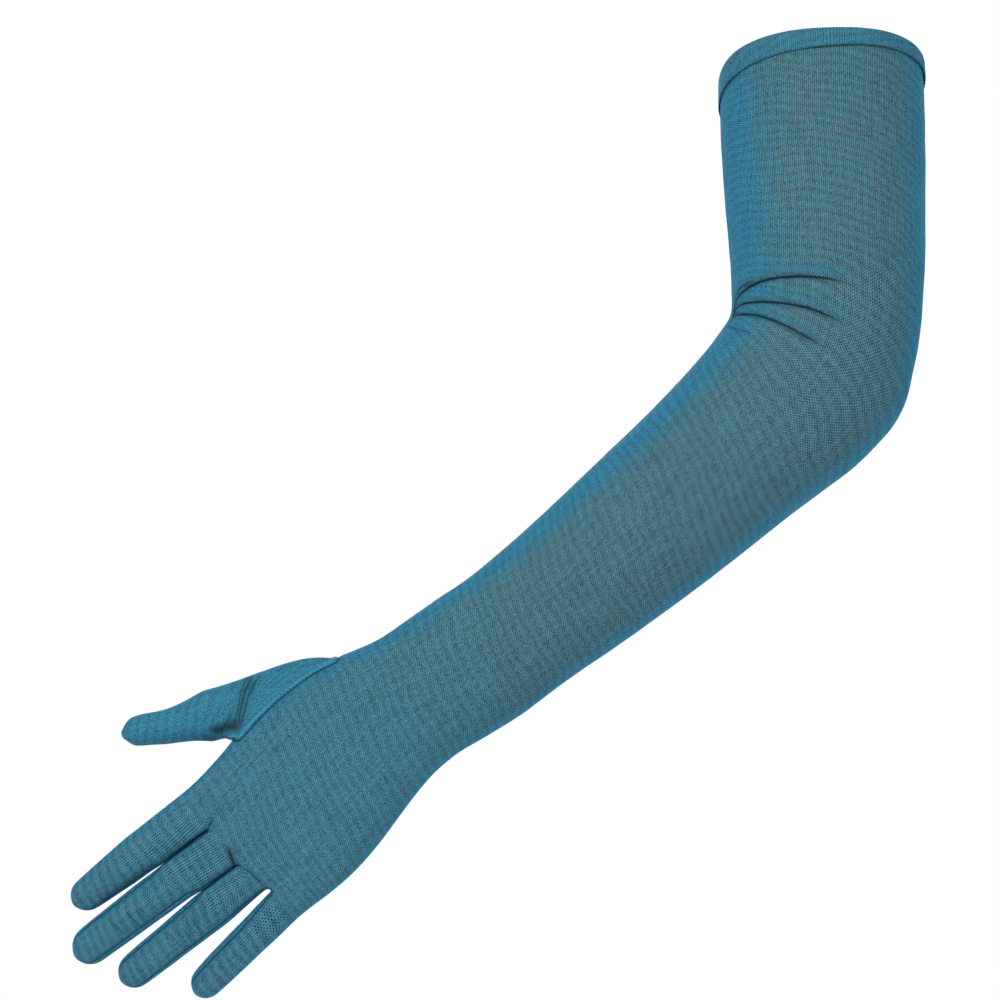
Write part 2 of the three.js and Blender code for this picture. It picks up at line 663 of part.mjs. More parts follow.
// Turns the faces of one piece into a closed wall, set back from its seams by half the gap
function wallGeometry(piece) {
  const own = faces.filter((face) => face.piece === piece);
  const edges = new Map();
  for (const { corners } of own) {
    for (let i = 0; i < 4; i += 1) {
      edges.set(`${corners[i]}_${corners[(i + 1) % 4]}`, corners);
    }
  }
  const inset = new Map();
  const rim = [];
  for (const [key, corners] of edges) {
    const [a, b] = key.split('_').map(Number);
    if (edges.has(`${b}_${a}`)) {
      continue;
    }
    rim.push([a, b]);
    const along = points[b].clone().sub(points[a]).normalize();
    const [p, q, r, s] = corners.map((i) => points[i]);
    const normal = r.clone().sub(p).cross(s.clone().sub(q)).normalize();
    const inward = normal.cross(along).normalize();
    for (const v of [a, b]) {
      if (!inset.has(v)) {
        inset.set(v, []);
      }
      inset.get(v).push(inward);
    }
  }
  const outerFace = new Map();
  const innerFace = new Map();
  const coords = [];
  const put = (p) => {
    coords.push(p);
    return coords.length - 1;
  };
  for (const { corners } of own) {
    for (const v of corners) {
      if (outerFace.has(v)) {
        continue;
      }
      const p = points[v].clone();
      if (inset.has(v)) {
        const sides = inset.get(v);
        const sum = sides.reduce((total, side) => total.add(side), new THREE.Vector3());
        const stretch = Math.max(0.35, sum.length() / sides.length);
        p.addScaledVector(sum.normalize(), SEAM_GAP / 2 / stretch);
      }
      outerFace.set(v, put(p));
      innerFace.set(v, put(p.clone().addScaledVector(normals[v], -WALL)));
    }
  }
  const triangles = [];
  const quad = (a, b, c, d) => {
    const short = coords[a].distanceTo(coords[c]) <= coords[b].distanceTo(coords[d]);
    if (short) {
      triangles.push(a, b, c, a, c, d);
    } else {
      triangles.push(a, b, d, b, c, d);
    }
  };
  for (const { corners } of own) {
    const o = corners.map((v) => outerFace.get(v));
    const n = corners.map((v) => innerFace.get(v));
    quad(o[0], o[1], o[2], o[3]);
    quad(n[3], n[2], n[1], n[0]);
  }
  for (const [a, b] of rim) {
    quad(outerFace.get(b), outerFace.get(a), innerFace.get(a), innerFace.get(b));
  }
  return toGeometry(coords, triangles);
}

function toGeometry(coords, triangles) {
  const geometry = new THREE.BufferGeometry();
  const flat = coords.flatMap((p) => [p.x, p.y, p.z]);
  geometry.setAttribute('position', new THREE.Float32BufferAttribute(flat, 3));
  geometry.setIndex(triangles);
  geometry.computeVertexNormals();
  return geometry;
}

// The folded band: a channel that both panels' top edges sit in
function bandGeometry() {
  const clear = 0.25;
  const bottom = BAND_HEIGHT / ROUTE;
  const outside = clear + WALL;
  const inside = -2 * WALL - clear;
  const profile = [
    [bottom, clear], [bottom, outside], [bottom * 0.5, outside], [0.10 * bottom, outside],
    [-0.03 * bottom, outside - 0.5 * WALL], [-0.03 * bottom, inside + 0.5 * WALL], [0.10 * bottom, inside],
    [bottom * 0.5, inside], [bottom, inside], [bottom, -WALL - clear], [bottom * 0.13, -WALL - clear],
    [bottom * 0.13, clear],
  ];
  const coords = [];
  for (const [share, offset] of profile) {
    for (let c = 0; c < COLUMNS; c += 1) {
      coords.push(sleevePoint(share, c, offset));
    }
  }
  const triangles = [];
  profile.forEach((_, i) => {
    const j = (i + 1) % profile.length;
    for (let c = 0; c < COLUMNS; c += 1) {
      const n = (c + 1) % COLUMNS;
      const a = i * COLUMNS + c;
      const b = i * COLUMNS + n;
      const d = j * COLUMNS + c;
      const e = j * COLUMNS + n;
      triangles.push(a, d, b, b, d, e);
    }
  });
  return toGeometry(coords, triangles);
}

// Cloth colours, and the pieces cut from each
const PANEL_LENGTHS = ['upper_arm', 'forearm', 'hand', 'index', 'middle', 'ring', 'little'];
const panelPieces = (panel) => PANEL_LENGTHS.map((length) => `${panel}_${length}`);
const CLOTH = [
  { name: 'band_cloth', colour: '#3f7890', rough: 0.82, pieces: ['hem_band'] },
  { name: 'back_cloth', colour: '#4a7788', rough: 0.80, pieces: panelPieces('back_panel') },
  { name: 'palm_cloth', colour: '#446f80', rough: 0.80, pieces: panelPieces('palm_panel') },
  { name: 'thumb_cloth', colour: '#3c7a94', rough: 0.80, pieces: ['thumb'] },
  { name: 'fourchette_cloth', colour: '#3b6c82', rough: 0.82, pieces: webPieces },
];

const glove = new THREE.Group();
glove.name = 'long_tulle_glove';
for (const cloth of CLOTH) {
  const material = new THREE.MeshStandardMaterial({
    color: cloth.colour,
    roughness: cloth.rough,
    metalness: 0,
  });
  material.name = cloth.name;
  for (const name of cloth.pieces) {
    const geometry = name === 'hem_band' ? bandGeometry() : wallGeometry(name);
    const mesh = new THREE.Mesh(geometry, material);
    mesh.name = name;
    glove.add(mesh);
  }
}

export default glove;
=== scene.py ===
"""Long tulle glove for the left hand, keeping the form of a bent arm.

Lengths of the cut are in millimetres inside the functions, and in metres on every object.
"""

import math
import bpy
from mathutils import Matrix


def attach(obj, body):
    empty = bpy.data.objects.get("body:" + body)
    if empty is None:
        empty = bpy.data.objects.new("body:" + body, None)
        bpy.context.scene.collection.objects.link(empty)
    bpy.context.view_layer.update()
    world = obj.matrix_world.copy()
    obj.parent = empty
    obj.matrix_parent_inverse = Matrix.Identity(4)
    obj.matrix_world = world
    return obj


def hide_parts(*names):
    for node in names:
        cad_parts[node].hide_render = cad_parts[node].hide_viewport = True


bl_info = {
    "name": "Long tulle glove",
    "version": (1, 0, 0),
    "blender": (4, 5, 0),
    "location": "View3D > Sidebar > Glove",
    "description": "Builds a long tulle glove around its packed frame",
    "category": "Add Mesh",
}

import bpy
import numpy as np
from mathutils import Vector, noise
from mathutils.kdtree import KDTree

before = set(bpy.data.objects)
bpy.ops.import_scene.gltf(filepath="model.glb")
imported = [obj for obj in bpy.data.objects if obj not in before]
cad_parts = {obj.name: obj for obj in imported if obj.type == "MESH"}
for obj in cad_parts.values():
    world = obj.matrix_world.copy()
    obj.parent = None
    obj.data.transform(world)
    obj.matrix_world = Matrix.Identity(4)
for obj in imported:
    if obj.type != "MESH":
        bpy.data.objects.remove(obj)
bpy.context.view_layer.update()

MM = 0.001
TURN = 2 * math.pi
# Times that each face of the skin is halved both ways
FINE_LEVELS = 2

# Sections of the sleeve: share of the route, reach to the thumb side, reach to the
# little-finger side (shares of the arm's width), rise of the back, rise of the palm
# (shares of its depth) and the exponent of the rounded section.
SECTIONS = np.array([
    (0.0000, 0.490, 0.490, 0.491, 0.491, 2.36),
    (0.0500, 0.492, 0.493, 0.490, 0.490, 2.12),
    (0.1250, 0.477, 0.483, 0.494, 0.494, 2.05),
    (0.2000, 0.454, 0.466, 0.488, 0.488, 2.08),
    (0.2410, 0.448, 0.446, 0.476, 0.482, 2.10),
    (0.2790, 0.441, 0.455, 0.465, 0.476, 2.12),
    (0.3040, 0.437, 0.480, 0.455, 0.476, 2.12),
    (0.3280, 0.434, 0.475, 0.448, 0.470, 2.12),
    (0.3530, 0.426, 0.456, 0.442, 0.459, 2.12),
    (0.3740, 0.405, 0.440, 0.430, 0.448, 2.12),
    (0.4320, 0.362, 0.432, 0.405, 0.420, 2.12),
    (0.4910, 0.338, 0.427, 0.380, 0.394, 2.14),
    (0.5490, 0.312, 0.418, 0.352, 0.362, 2.16),
    (0.6070, 0.293, 0.394, 0.322, 0.328, 2.20),
    (0.6650, 0.288, 0.370, 0.288, 0.290, 2.24),
    (0.7240, 0.316, 0.357, 0.252, 0.258, 2.28),
    (0.7650, 0.335, 0.320, 0.232, 0.244, 2.30),
    (0.7820, 0.357, 0.301, 0.226, 0.244, 2.32),
    (0.8000, 0.389, 0.301, 0.216, 0.245, 2.36),
    (0.8150, 0.415, 0.307, 0.204, 0.245, 2.40),
    (0.8480, 0.444, 0.344, 0.182, 0.240, 2.45),
    (0.8820, 0.450, 0.383, 0.168, 0.226, 2.50),
    (0.9150, 0.441, 0.406, 0.158, 0.196, 2.50),
    (0.9480, 0.416, 0.410, 0.150, 0.166, 2.50),
    (0.9810, 0.402, 0.402, 0.146, 0.146, 2.50),
    (1.0000, 0.403, 0.400, 0.143, 0.140, 2.50),
])

# Columns round the sleeve: how many, the last of the back, the thumb's seam, the first and last
# of the palm, the little finger's seam, and the far side of the thumb's gusset
COLUMNS = 38
BACK_END, THUMB_SEAM, PALM_START, PALM_END, LITTLE_SEAM, GUSSET_FAR = 15, 16, 19, 34, 36, 21
FIRST_COLUMN = 2
FINGER_SIDES, THUMB_SIDES = 14, 20

# Thumb's gusset: where it starts and ends on the route, and how many columns its seam is shifted
GUSSET_START, GUSSET_END = 0.8090, 0.9230
GUSSET_SEAM_SHIFT = 0.8
# Shares of the route where the columns start to turn towards the finger roots, where the valleys
# between the fingers start, and where the opening's slant has run out
ROOTS_START, ROOTS_RUN = 0.70, 0.27
VALLEY_START, VALLEY_RUN, VALLEY_DEPTH, VALLEY_WIDTH = 0.93, 0.07, 0.20, 0.9
SLANT_END = 0.16
# Millimetres that the route goes on before its start and past its end, and points in each stretch
BEFORE_START, PAST_END = 10, 20
STRAIGHT_POINTS, CORNER_POINTS = 60, 80
RINGS = [
    0.0035, 0.0175, 0.0480, 0.0900, 0.1300, 0.1660, 0.1870, 0.2040, 0.2190, 0.2320,
    0.2440, 0.2560, 0.2680, 0.2800, 0.2920, 0.3040, 0.3165, 0.3300, 0.3460, 0.3660, 0.3920,
    0.4340, 0.4840, 0.5360, 0.5880, 0.6360, 0.6780, 0.7120, 0.7400, 0.7630,
    0.7840, GUSSET_START, 0.8310, 0.8600, 0.8890, GUSSET_END, 0.9370, 0.9560, 0.9740, 0.9880, 1.0000,
]


def closer(stations, low, high, parts):
    """The same stations, with each step between low and high cut into equal parts."""
    out = []
    for a, b in zip(stations, stations[1:]):
        cuts = parts if a >= low and b <= high else 1
        out += [a + (b - a) * k / cuts for k in range(cuts)]
    return [*out, stations[-1]]


# The folds at the elbow need rings closer together
RINGS = closer(RINGS, 0.186, 0.317, 3)
THUMB_TOP = RINGS.index(GUSSET_START)
THUMB_BOTTOM = RINGS.index(GUSSET_END)

# Webs: side, width and place ahead of the last ring, as shares of the hand's width
WEBS = [(0.257, 0.026, -0.064), (0.022, 0.026, -0.003), (-0.240, 0.024, -0.015)]
# First column of each web, the place of its middle, how far it sinks in millimetres, and the place
# of the little finger's side ahead of the last ring
WEB_STARTS = (3, 7, 11)
WEB_COLUMNS = [k + 0.5 for k in WEB_STARTS]
WEB_DIP = 1.2
LITTLE_SHIFT = -0.085

# Fingers: name, length, side, turn, five widths from root to tip, drop
FINGERS = [
    ("little", 0.646, 0.390, 3.6, (0.97, 0.91, 0.87, 0.84, 0.77), 0.120),
    ("ring", 0.905, 0.135, -2.5, (1.03, 1.03, 0.97, 0.93, 0.86), 0.085),
    ("middle", 1.000, -0.109, -4.4, (1.06, 1.06, 1.05, 1.01, 0.91), 0.07),
    ("index", 0.820, -0.374, -3.8, (1.08, 1.08, 1.04, 0.93, 0.78), 0.085),
]
FINGER_STEPS = closer([0.0, 0.10, 0.23, 0.38, 0.54, 0.71, 0.88], 0.0, 1.0, 2)[1:]
FINGER_DEPTH = 0.86
TIP_LEAN = 0.028
# Where the back's and the palm's seams run round each finger, in degrees from its little-finger side
BACK_SEAMS = {"little": (44, 141), "ring": (26, 155), "middle": (33, 163), "index": (20, 136)}
PALM_SEAMS = (224, 316)
# Knit across a finger between two columns, as a share of its width, for each degree of its panel
STEP_A_DEGREE = 0.0023
# Knit between two columns of a fourchette and of a web, in millimetres
FORK_STEP, WEB_STEP = 3.4, 3.5
# Faces round a finger: the last of the back, of the far side's first half, of the far side, of the
# palm, and the first of the near side's second half
LAST_BACK, HALF_FAR, LAST_FAR, LAST_PALM, HALF_NEAR = 2, 4, 6, 9, 12
# Rounding of a tip: shares of the way to its top, and how far its middle stands out of its width
DOME = [0.34, 0.66, 0.87]
TIP_LIFT = 0.10

# Thumb: share of its length, rise, width and depth as shares of its width; then how far past the
# last ring its rounding starts, the side its knit is measured from, its root and its ramp
THUMB = [
    (0.260, -0.040, 1.040, 0.800),
    (0.400, -0.059, 0.830, 0.760),
    (0.530, -0.089, 0.727, 0.720),
    (0.660, -0.092, 0.665, 0.680),
    (0.790, -0.055, 0.625, 0.640),
]
THUMB_DOME_START = 0.06
THUMB_KNIT_SIDE = 18
THUMB_ROOT = {"at": 0.894, "ahead": 0.147, "side": -0.670, "palm": 0.195}
THUMB_RAMP = closer([0.0, 0.10, 0.24, 0.40, 0.60, 0.80, 1.0], 0.0, 1.0, 3)[1:-1]
# Ways in which the gusset leaves the sleeve: place round its edge, then ahead, across, palm
GUSSET_WAYS = [
    (3, 0.80, -0.84, 0), (8, 0.35, -0.75, 0.30), (13, 0.80, -0.75, 0), (18, 0.15, -0.72, 0.55),
]

PIECES = [
    "back_panel", "palm_panel", "thumb",
    "fourchette_ring_little", "fourchette_middle_ring", "fourchette_index_middle",
]
BACK, PALM, THUMB_PIECE, FIRST_FORK = 0, 1, 2, 3
PANEL_LENGTHS = ("upper_arm", "forearm", "hand", "index", "middle", "ring", "little")

# Groups of crease lines, the gap in millimetres that counts as far from any line, and how many
# points of the cloth are asked how near a place is
LINE_GROUPS = 3
FAR_OFF = 9.0
NEAR_POINTS = 4
# Unevenness of the worn cloth: fineness, shift and height in millimetres
UNEVEN = ((0.030, (0, 0, 0), 0.55), (0.085, (7, 3, 1), 0.16))

# The eye that the picture was taken from, in millimetres, and how far before it a pixel of the
# picture covers PIXEL millimetres
EYE = (-146.0, -1755.0, -191.7)
EYE_DISTANCE = 1700.0
PIXEL = 0.44
PICTURE = 1000

# Parts of the picture that places are read in: left edge, top edge and how much enlarged
ENLARGED = {
    "whole": (0, 0, 1.0), "elbow": (700, 240, 7.84), "thumb": (100, 630, 6.03), "fingers": (60, 800, 6.53),
}

# Folds on the back of the glove: the part of the picture and places in it, the group of crease
# lines it is drawn in, how dark its line of painted shade is, the depth of the crease, the height of
# the roll beside it in millimetres, both widths, and the side that the roll lies on (1 is left of the
# way the points run)
FOLDS = {
    "elbow upper fold": (
        "elbow",
        [(268, 560), (285, 480), (330, 415), (390, 362), (450, 330), (540, 302), (640, 287),
         (760, 281), (880, 284), (960, 293), (1040, 305), (1120, 326), (1185, 357)],
        0, 1.0, 0.9, 1.5, 0.8, 3.0, 1),
    "elbow middle fold": (
        "elbow",
        [(264, 592), (275, 545), (320, 510), (380, 490), (470, 481), (560, 484), (650, 492),
         (750, 507), (850, 527), (950, 562), (1040, 602), (1090, 632), (1145, 672)],
        1, 1.0, 0.9, 1.2, 0.8, 2.6, 1),
    "elbow lower fold": (
        "elbow",
        [(290, 587), (350, 579), (420, 582), (500, 602), (600, 636), (700, 682), (800, 736),
         (880, 782), (940, 817), (985, 845)],
        2, 0.95, 0.8, 1.0, 0.8, 2.3, 1),
    "elbow upper line": (
        "elbow",
        [(262, 505), (285, 440), (330, 378), (390, 337), (450, 318)],
        2, 0.55, 0.2, 0.2, 0.7, 1.2, 1),
    "elbow short fold": (
        "elbow",
        [(170, 692), (205, 676), (260, 686), (330, 706), (410, 728)],
        0, 0.35, 0.5, 0.6, 0.9, 1.6, 1),
    "thumb first wrinkle": (
        "thumb",
        [(885, 285), (850, 380), (835, 470), (815, 560), (822, 625)],
        0, 0.5, 0.5, 0.6, 0.8, 1.5, -1),
    "thumb second wrinkle": (
        "thumb",
        [(912, 292), (872, 370), (860, 430), (846, 500), (834, 590)],
        1, 0.75, 0.5, 0.5, 0.7, 1.0, -1),
    "thumb third wrinkle": (
        "thumb",
        [(945, 300), (892, 400), (872, 480), (853, 560), (838, 610)],
        2, 0.5, 0.5, 0.6, 0.7, 1.1, -1),
    "thumb short wrinkle": (
        "thumb", [(800, 515), (760, 560), (735, 610), (745, 648)],
        1, 0.5, 0.3, 0.4, 0.7, 1.2, 1),
    "index root": (
        "fingers",
        [(990, 148), (950, 188), (880, 238), (800, 297), (720, 352), (640, 410)],
        0, 1.0, 0.4, 0.3, 0.8, 1.6, 1),
    "index root end": ("fingers", [(945, 193), (975, 196), (1010, 210)], 1, 0.7, 0.3, 0.2, 0.7, 1.1, 1),
    "middle root": (
        "fingers",
        [(1108, 330), (1118, 385), (1132, 424), (1050, 478), (950, 543)],
        0, 0.9, 0.5, 0.3, 0.8, 1.4, 1),
    "middle root end": (
        "fingers",
        [(1135, 425), (1190, 436), (1240, 470), (1290, 520), (1335, 562)],
        1, 0.65, 0.5, 0.4, 0.8, 1.4, 1),
    "finger wrinkle 1": ("fingers", [(455, 755), (490, 790), (535, 830)], 0, 0.5, 0.5, 0.3, 0.7, 1.1, 1),
    "finger wrinkle 2": ("fingers", [(535, 715), (565, 745), (600, 775)], 0, 0.35, 0.4, 0.3, 0.7, 1.1, 1),
    "finger wrinkle 3": ("fingers", [(355, 815), (390, 845), (435, 885)], 0, 0.5, 0.5, 0.3, 0.7, 1.1, 1),
    "finger wrinkle 4": ("fingers", [(865, 790), (890, 820), (925, 858)], 0, 0.5, 0.5, 0.3, 0.7, 1.1, 1),
    "finger wrinkle 5": ("fingers", [(930, 735), (955, 765), (985, 795)], 0, 0.3, 0.4, 0.3, 0.7, 1.1, 1),
    "finger wrinkle 6": ("fingers", [(810, 850), (830, 880), (855, 905)], 0, 0.4, 0.4, 0.3, 0.7, 1.1, 1),
    "finger wrinkle 7": ("fingers", [(750, 910), (770, 940), (795, 965)], 0, 0.35, 0.4, 0.3, 0.7, 1.1, 1),
}

# Soft shades where the cloth turns under: places in the same way, half width in millimetres, darkness
SHADES = {
    "under the thumb": ("whole", [(216, 730), (226, 728), (235, 726)], 2.4, 0.85),
    "below the thumb": ("whole", [(214, 737), (190, 744), (165, 752), (140, 758)], 1.6, 0.35),
    "beside the index finger": (
        "whole", [(203, 829), (175, 848), (150, 866), (125, 886), (105, 900)], 1.8, 0.42),
    "beside the middle finger": ("whole", [(233, 865), (215, 878), (197, 891)], 2.0, 0.4),
    "root of the middle finger": ("whole", [(229, 852), (234, 862)], 2.2, 0.45),
    "beside the ring finger": ("whole", [(266, 888), (250, 902), (236, 912)], 1.6, 0.4),
}


class GloveSizes(bpy.types.PropertyGroup):
    """Sizes that the glove is cut and sewn to."""

    def length(name, description, default, unit="LENGTH"):
        return bpy.props.FloatProperty(
            name=name, description=description, default=default, unit=unit, min=0.00001, precision=5)

    def angle(name, description, default):
        return bpy.props.FloatProperty(
            name=name, description=description, default=math.radians(default), subtype="ANGLE")

    upper_arm: length("Upper arm", "Opening to the point of the elbow", 0.1455)
    forearm: length("Forearm", "Point of the elbow to the wrist", 0.2232)
    palm: length("Hand", "Wrist to the finger roots", 0.1177)
    elbow_curve: length("Elbow curve", "Start of the rounding before and after the elbow", 0.034)
    wrist_curve: length("Wrist curve", "Start of the rounding before and after the wrist", 0.045)
    upper_lean: angle("Upper arm lean", "How far the upper arm leans forward", 25.2)
    forearm_drop: angle("Forearm drop", "Slope of the forearm below level", 39.3)
    hand_drop: angle("Hand drop", "Slope of the hand below level", 41.2)
    arm_width: length("Arm width", "Width at the opening", 0.094)
    arm_depth: length("Arm depth", "Depth at the opening", 0.086)
    hand_width: length("Hand width", "Width across the knuckles", 0.075)
    finger_width: length("Finger width", "Width that the finger widths are shares of", 0.018)
    middle_finger: length("Middle finger", "Length from the finger roots", 0.0805)
    thumb_length: length("Thumb length", "Length from its crotch", 0.0504)
    thumb_width: length("Thumb width", "Width at its root", 0.0225)
    thumb_spread: angle("Thumb spread", "Angle between thumb and hand", 29.4)
    band_height: length("Band height", "Height of the folded band", 0.0093)
    opening_slant: angle("Opening slant", "Slant of the opening's edge", 3)
    band_slant: angle("Band slant", "Slant of the band's stitched line", 6.5)
    cloth: length("Cloth", "Thickness of the tulle", 0.00045)
    wale: length("Wale", "Distance between the knit's ribs", 0.0009)


class GloveColours(bpy.types.PropertyGroup):
    """Colours and finish of the tulle."""

    def colour(name, description, default):
        return bpy.props.FloatVectorProperty(
            name=name, description=description, default=default, subtype="COLOR", size=3, min=0, max=1)

    yarn: colour("Yarn", "Cloth of the upper arm, seen straight on", (0.052, 0.150, 0.188))
    lower: colour("Lower yarn", "Cloth of the hand, seen straight on", (0.042, 0.163, 0.236))
    # Edge tone: painted sheen where the cloth turns away at the sides, and painted light where it faces the
    # key light
    edge: colour("Edge", "Cloth that turns away at the sides", (0.022, 0.176, 0.284))
    # Fold tone: doubled and gathered cloth, and on the roll above a crease partly a painted highlight
    fold: colour("Fold", "Cloth that is doubled or rolled", (0.024, 0.158, 0.245))
    thumb: colour("Thumb", "Smoother cloth of the thumb", (0.027, 0.190, 0.290))
    band: colour("Band", "Doubled cloth of the opening's band", (0.036, 0.160, 0.235))
    thread: colour("Thread", "Sewing thread", (0.018, 0.075, 0.110))
    sheen: colour("Sheen", "Soft light that the yarn catches at its edges", (0.02, 0.34, 0.62))
    floor: colour("Floor", "Pale floor under the glove", (0.86, 0.86, 0.86))


def smooth(t):
    k = np.clip(t, 0.0, 1.0)
    return k * k * (3 - 2 * k)


def unit(v):
    return v / np.linalg.norm(v)


def finger_angles(name):
    near, far = BACK_SEAMS[name]
    palm_far, palm_near = PALM_SEAMS
    runs = ((near, far, 3), (far, palm_far, 4), (palm_far, palm_near, 3), (palm_near, 360 + near, 4))
    return np.radians([a + (b - a) * k / count for a, b, count in runs for k in range(count)])


class GlovePattern:
    """The glove's route and sections, from its named sizes."""

    def __init__(self, s):
        self.s = s
        lean, drop, hand = s.upper_lean, s.forearm_drop, s.hand_drop
        self.down_arm = unit(np.array([-math.sin(math.radians(0.7)), -math.sin(lean), -math.cos(lean)]))
        self.down_forearm = np.array([-math.cos(drop), 0.0, -math.sin(drop)])
        self.ahead = unit(np.array([-math.cos(hand), 0.018, -math.sin(hand)]))
        self.elbow = self.down_arm * s.upper_arm / MM
        self.wrist = self.elbow + self.down_forearm * s.forearm / MM
        self.roots = self.wrist + self.ahead * s.palm / MM
        self.across = unit(np.cross(self.ahead, [0, 1, 0]))
        self.out_of_back = np.cross(self.ahead, self.across)
        self.arm_width, self.arm_depth = s.arm_width / MM, s.arm_depth / MM
        self.hand_width = s.hand_width / MM
        self.make_route()
        self.root_sides = self.find_root_sides()
        self.root_angles = np.array([self.root_angle(c) for c in range(COLUMNS)])

    def make_route(self):
        s = self.s
        ec, wc = s.elbow_curve / MM, s.wrist_curve / MM
        e0, e1 = self.elbow - self.down_arm * ec, self.elbow + self.down_forearm * ec
        w0, w1 = self.wrist - self.down_forearm * wc, self.wrist + self.ahead * wc
        start, end = -BEFORE_START * self.down_arm, self.roots + PAST_END * self.ahead

        def straight(a, b, n):
            t = np.arange(n)[:, None] / n
            return a + (b - a) * t

        def corner(a, c, b, n):
            t = np.arange(n)[:, None] / n
            return (1 - t) ** 2 * a + 2 * t * (1 - t) * c + t * t * b

        self.path = np.vstack([
            straight(start, e0, STRAIGHT_POINTS), corner(e0, self.elbow, e1, CORNER_POINTS),
            straight(e1, w0, CORNER_POINTS), corner(w0, self.wrist, w1, CORNER_POINTS),
            straight(w1, end, STRAIGHT_POINTS), end[None],
        ])
        steps = np.linalg.norm(np.diff(self.path, axis=0), axis=1)
        self.run = np.concatenate([[0], np.cumsum(steps)]) - BEFORE_START
        self.length = self.run[-1] - PAST_END

    def on_route(self, distance):
        return np.array([np.interp(distance, self.run, self.path[:, k]) for k in range(3)])

    def frame_at(self, share):
        d = share * self.length
        tangent = unit(self.on_route(d + 2) - self.on_route(d - 2))
        side = unit(np.cross(tangent, [0, 1, 0]))
        return self.on_route(d), tangent, side, np.cross(tangent, side)

    def section(self, share):
        at = SECTIONS[:, 0]
        i = int(np.clip(np.searchsorted(at, share, side="left"), 1, len(at) - 1))

        def slope(k):
            lo, hi = SECTIONS[max(0, k - 1)], SECTIONS[min(len(at) - 1, k + 1)]
            return (hi[1:] - lo[1:]) / (hi[0] - lo[0])

        p, q = SECTIONS[i - 1], SECTIONS[i]
        span = q[0] - p[0]
        t = min(1.0, max(0.0, (share - p[0]) / span))
        return ((2 * t ** 3 - 3 * t ** 2 + 1) * p[1:] + (t ** 3 - 2 * t ** 2 + t) * span * slope(i - 1)
                + (-2 * t ** 3 + 3 * t ** 2) * q[1:] + (t ** 3 - t ** 2) * span * slope(i))

    def find_root_sides(self):
        half = self.hand_width / 2
        stops = [half * 0.93]
        for side, gap, _ in WEBS:
            stops += [(side + gap / 2) * self.hand_width, (side - gap / 2) * self.hand_width]
        stops.append(-half * 0.95)
        return [stops[2 * f] + (stops[2 * f + 1] - stops[2 * f]) * k / 3 for f in range(4) for k in range(4)]

    def root_angle(self, c):
        inner, outer, _, _, square = self.section(1.0)
        wide, shift = (inner + outer) / 2 * self.arm_width, (outer - inner) / 2 * self.arm_width

        def angle_of(side):
            share = max(-0.995, min(0.995, (side - shift) / wide))
            return math.acos(math.copysign(abs(share) ** (square / 2), share))

        if c <= BACK_END:
            return angle_of(self.root_sides[c])
        if PALM_START <= c <= PALM_END:
            return TURN - angle_of(self.root_sides[PALM_END - c])
        if c < PALM_START:
            start = angle_of(self.root_sides[BACK_END])
            return start + (TURN - 2 * start) * (c - BACK_END) / (PALM_START - BACK_END)
        start = angle_of(self.root_sides[0])
        return TURN - start + 2 * start * (c - PALM_END) / (COLUMNS - PALM_END)

    def root_shift(self, column):
        columns = [0, *WEB_COLUMNS, BACK_END]
        shifts = [LITTLE_SHIFT, *(ahead for _, _, ahead in WEBS), WEBS[-1][2]]
        return float(np.interp(column, columns, shifts)) * self.hand_width

    def sleeve_point(self, share, c, offset=0.0):
        """Point of the sleeve's outer face at a column, which may lie between two columns."""
        s = self.s
        centre, tangent, side, back = self.frame_at(share)
        w = float(smooth((share - ROOTS_START) / ROOTS_RUN))
        valley = float(smooth((share - VALLEY_START) / VALLEY_RUN))
        even = TURN * (c + FIRST_COLUMN) / COLUMNS
        root = self.root_angles[int(c)] if c == int(c) else even if w == 0 else self.root_angle(c)
        angle = even + (root - even) * w
        inner, outer, rise, palm, square = self.section(share)
        a, b = (inner + outer) / 2 * self.arm_width, (rise + palm) / 2 * self.arm_depth
        cos, sin = math.cos(angle), math.sin(angle)
        x = a * math.copysign(abs(cos) ** (2 / square), cos)
        y = b * math.copysign(abs(sin) ** (2 / square), sin)
        nx = math.copysign(abs(cos) ** (2 - 2 / square), cos) / a
        ny = math.copysign(abs(sin) ** (2 - 2 / square), sin) / b
        nl = math.hypot(nx, ny)
        column = min(c, BACK_END) if c < PALM_START else max(0, PALM_END - c)
        for web in WEB_COLUMNS:
            y *= 1 - VALLEY_DEPTH * math.exp(-(((column - web) / VALLEY_WIDTH) ** 2)) * valley
        x += offset * nx / nl + (outer - inner) / 2 * self.arm_width
        y += offset * ny / nl + (rise - palm) / 2 * self.arm_depth
        band = float(smooth(share * self.length / (s.band_height / MM)))
        tilt = s.opening_slant + (s.band_slant - s.opening_slant) * band
        slant = -math.tan(tilt) * x * (1 - float(smooth(share / SLANT_END)))
        shift = self.root_shift(column) * valley
        return centre + side * x + back * y + tangent * (slant + shift)


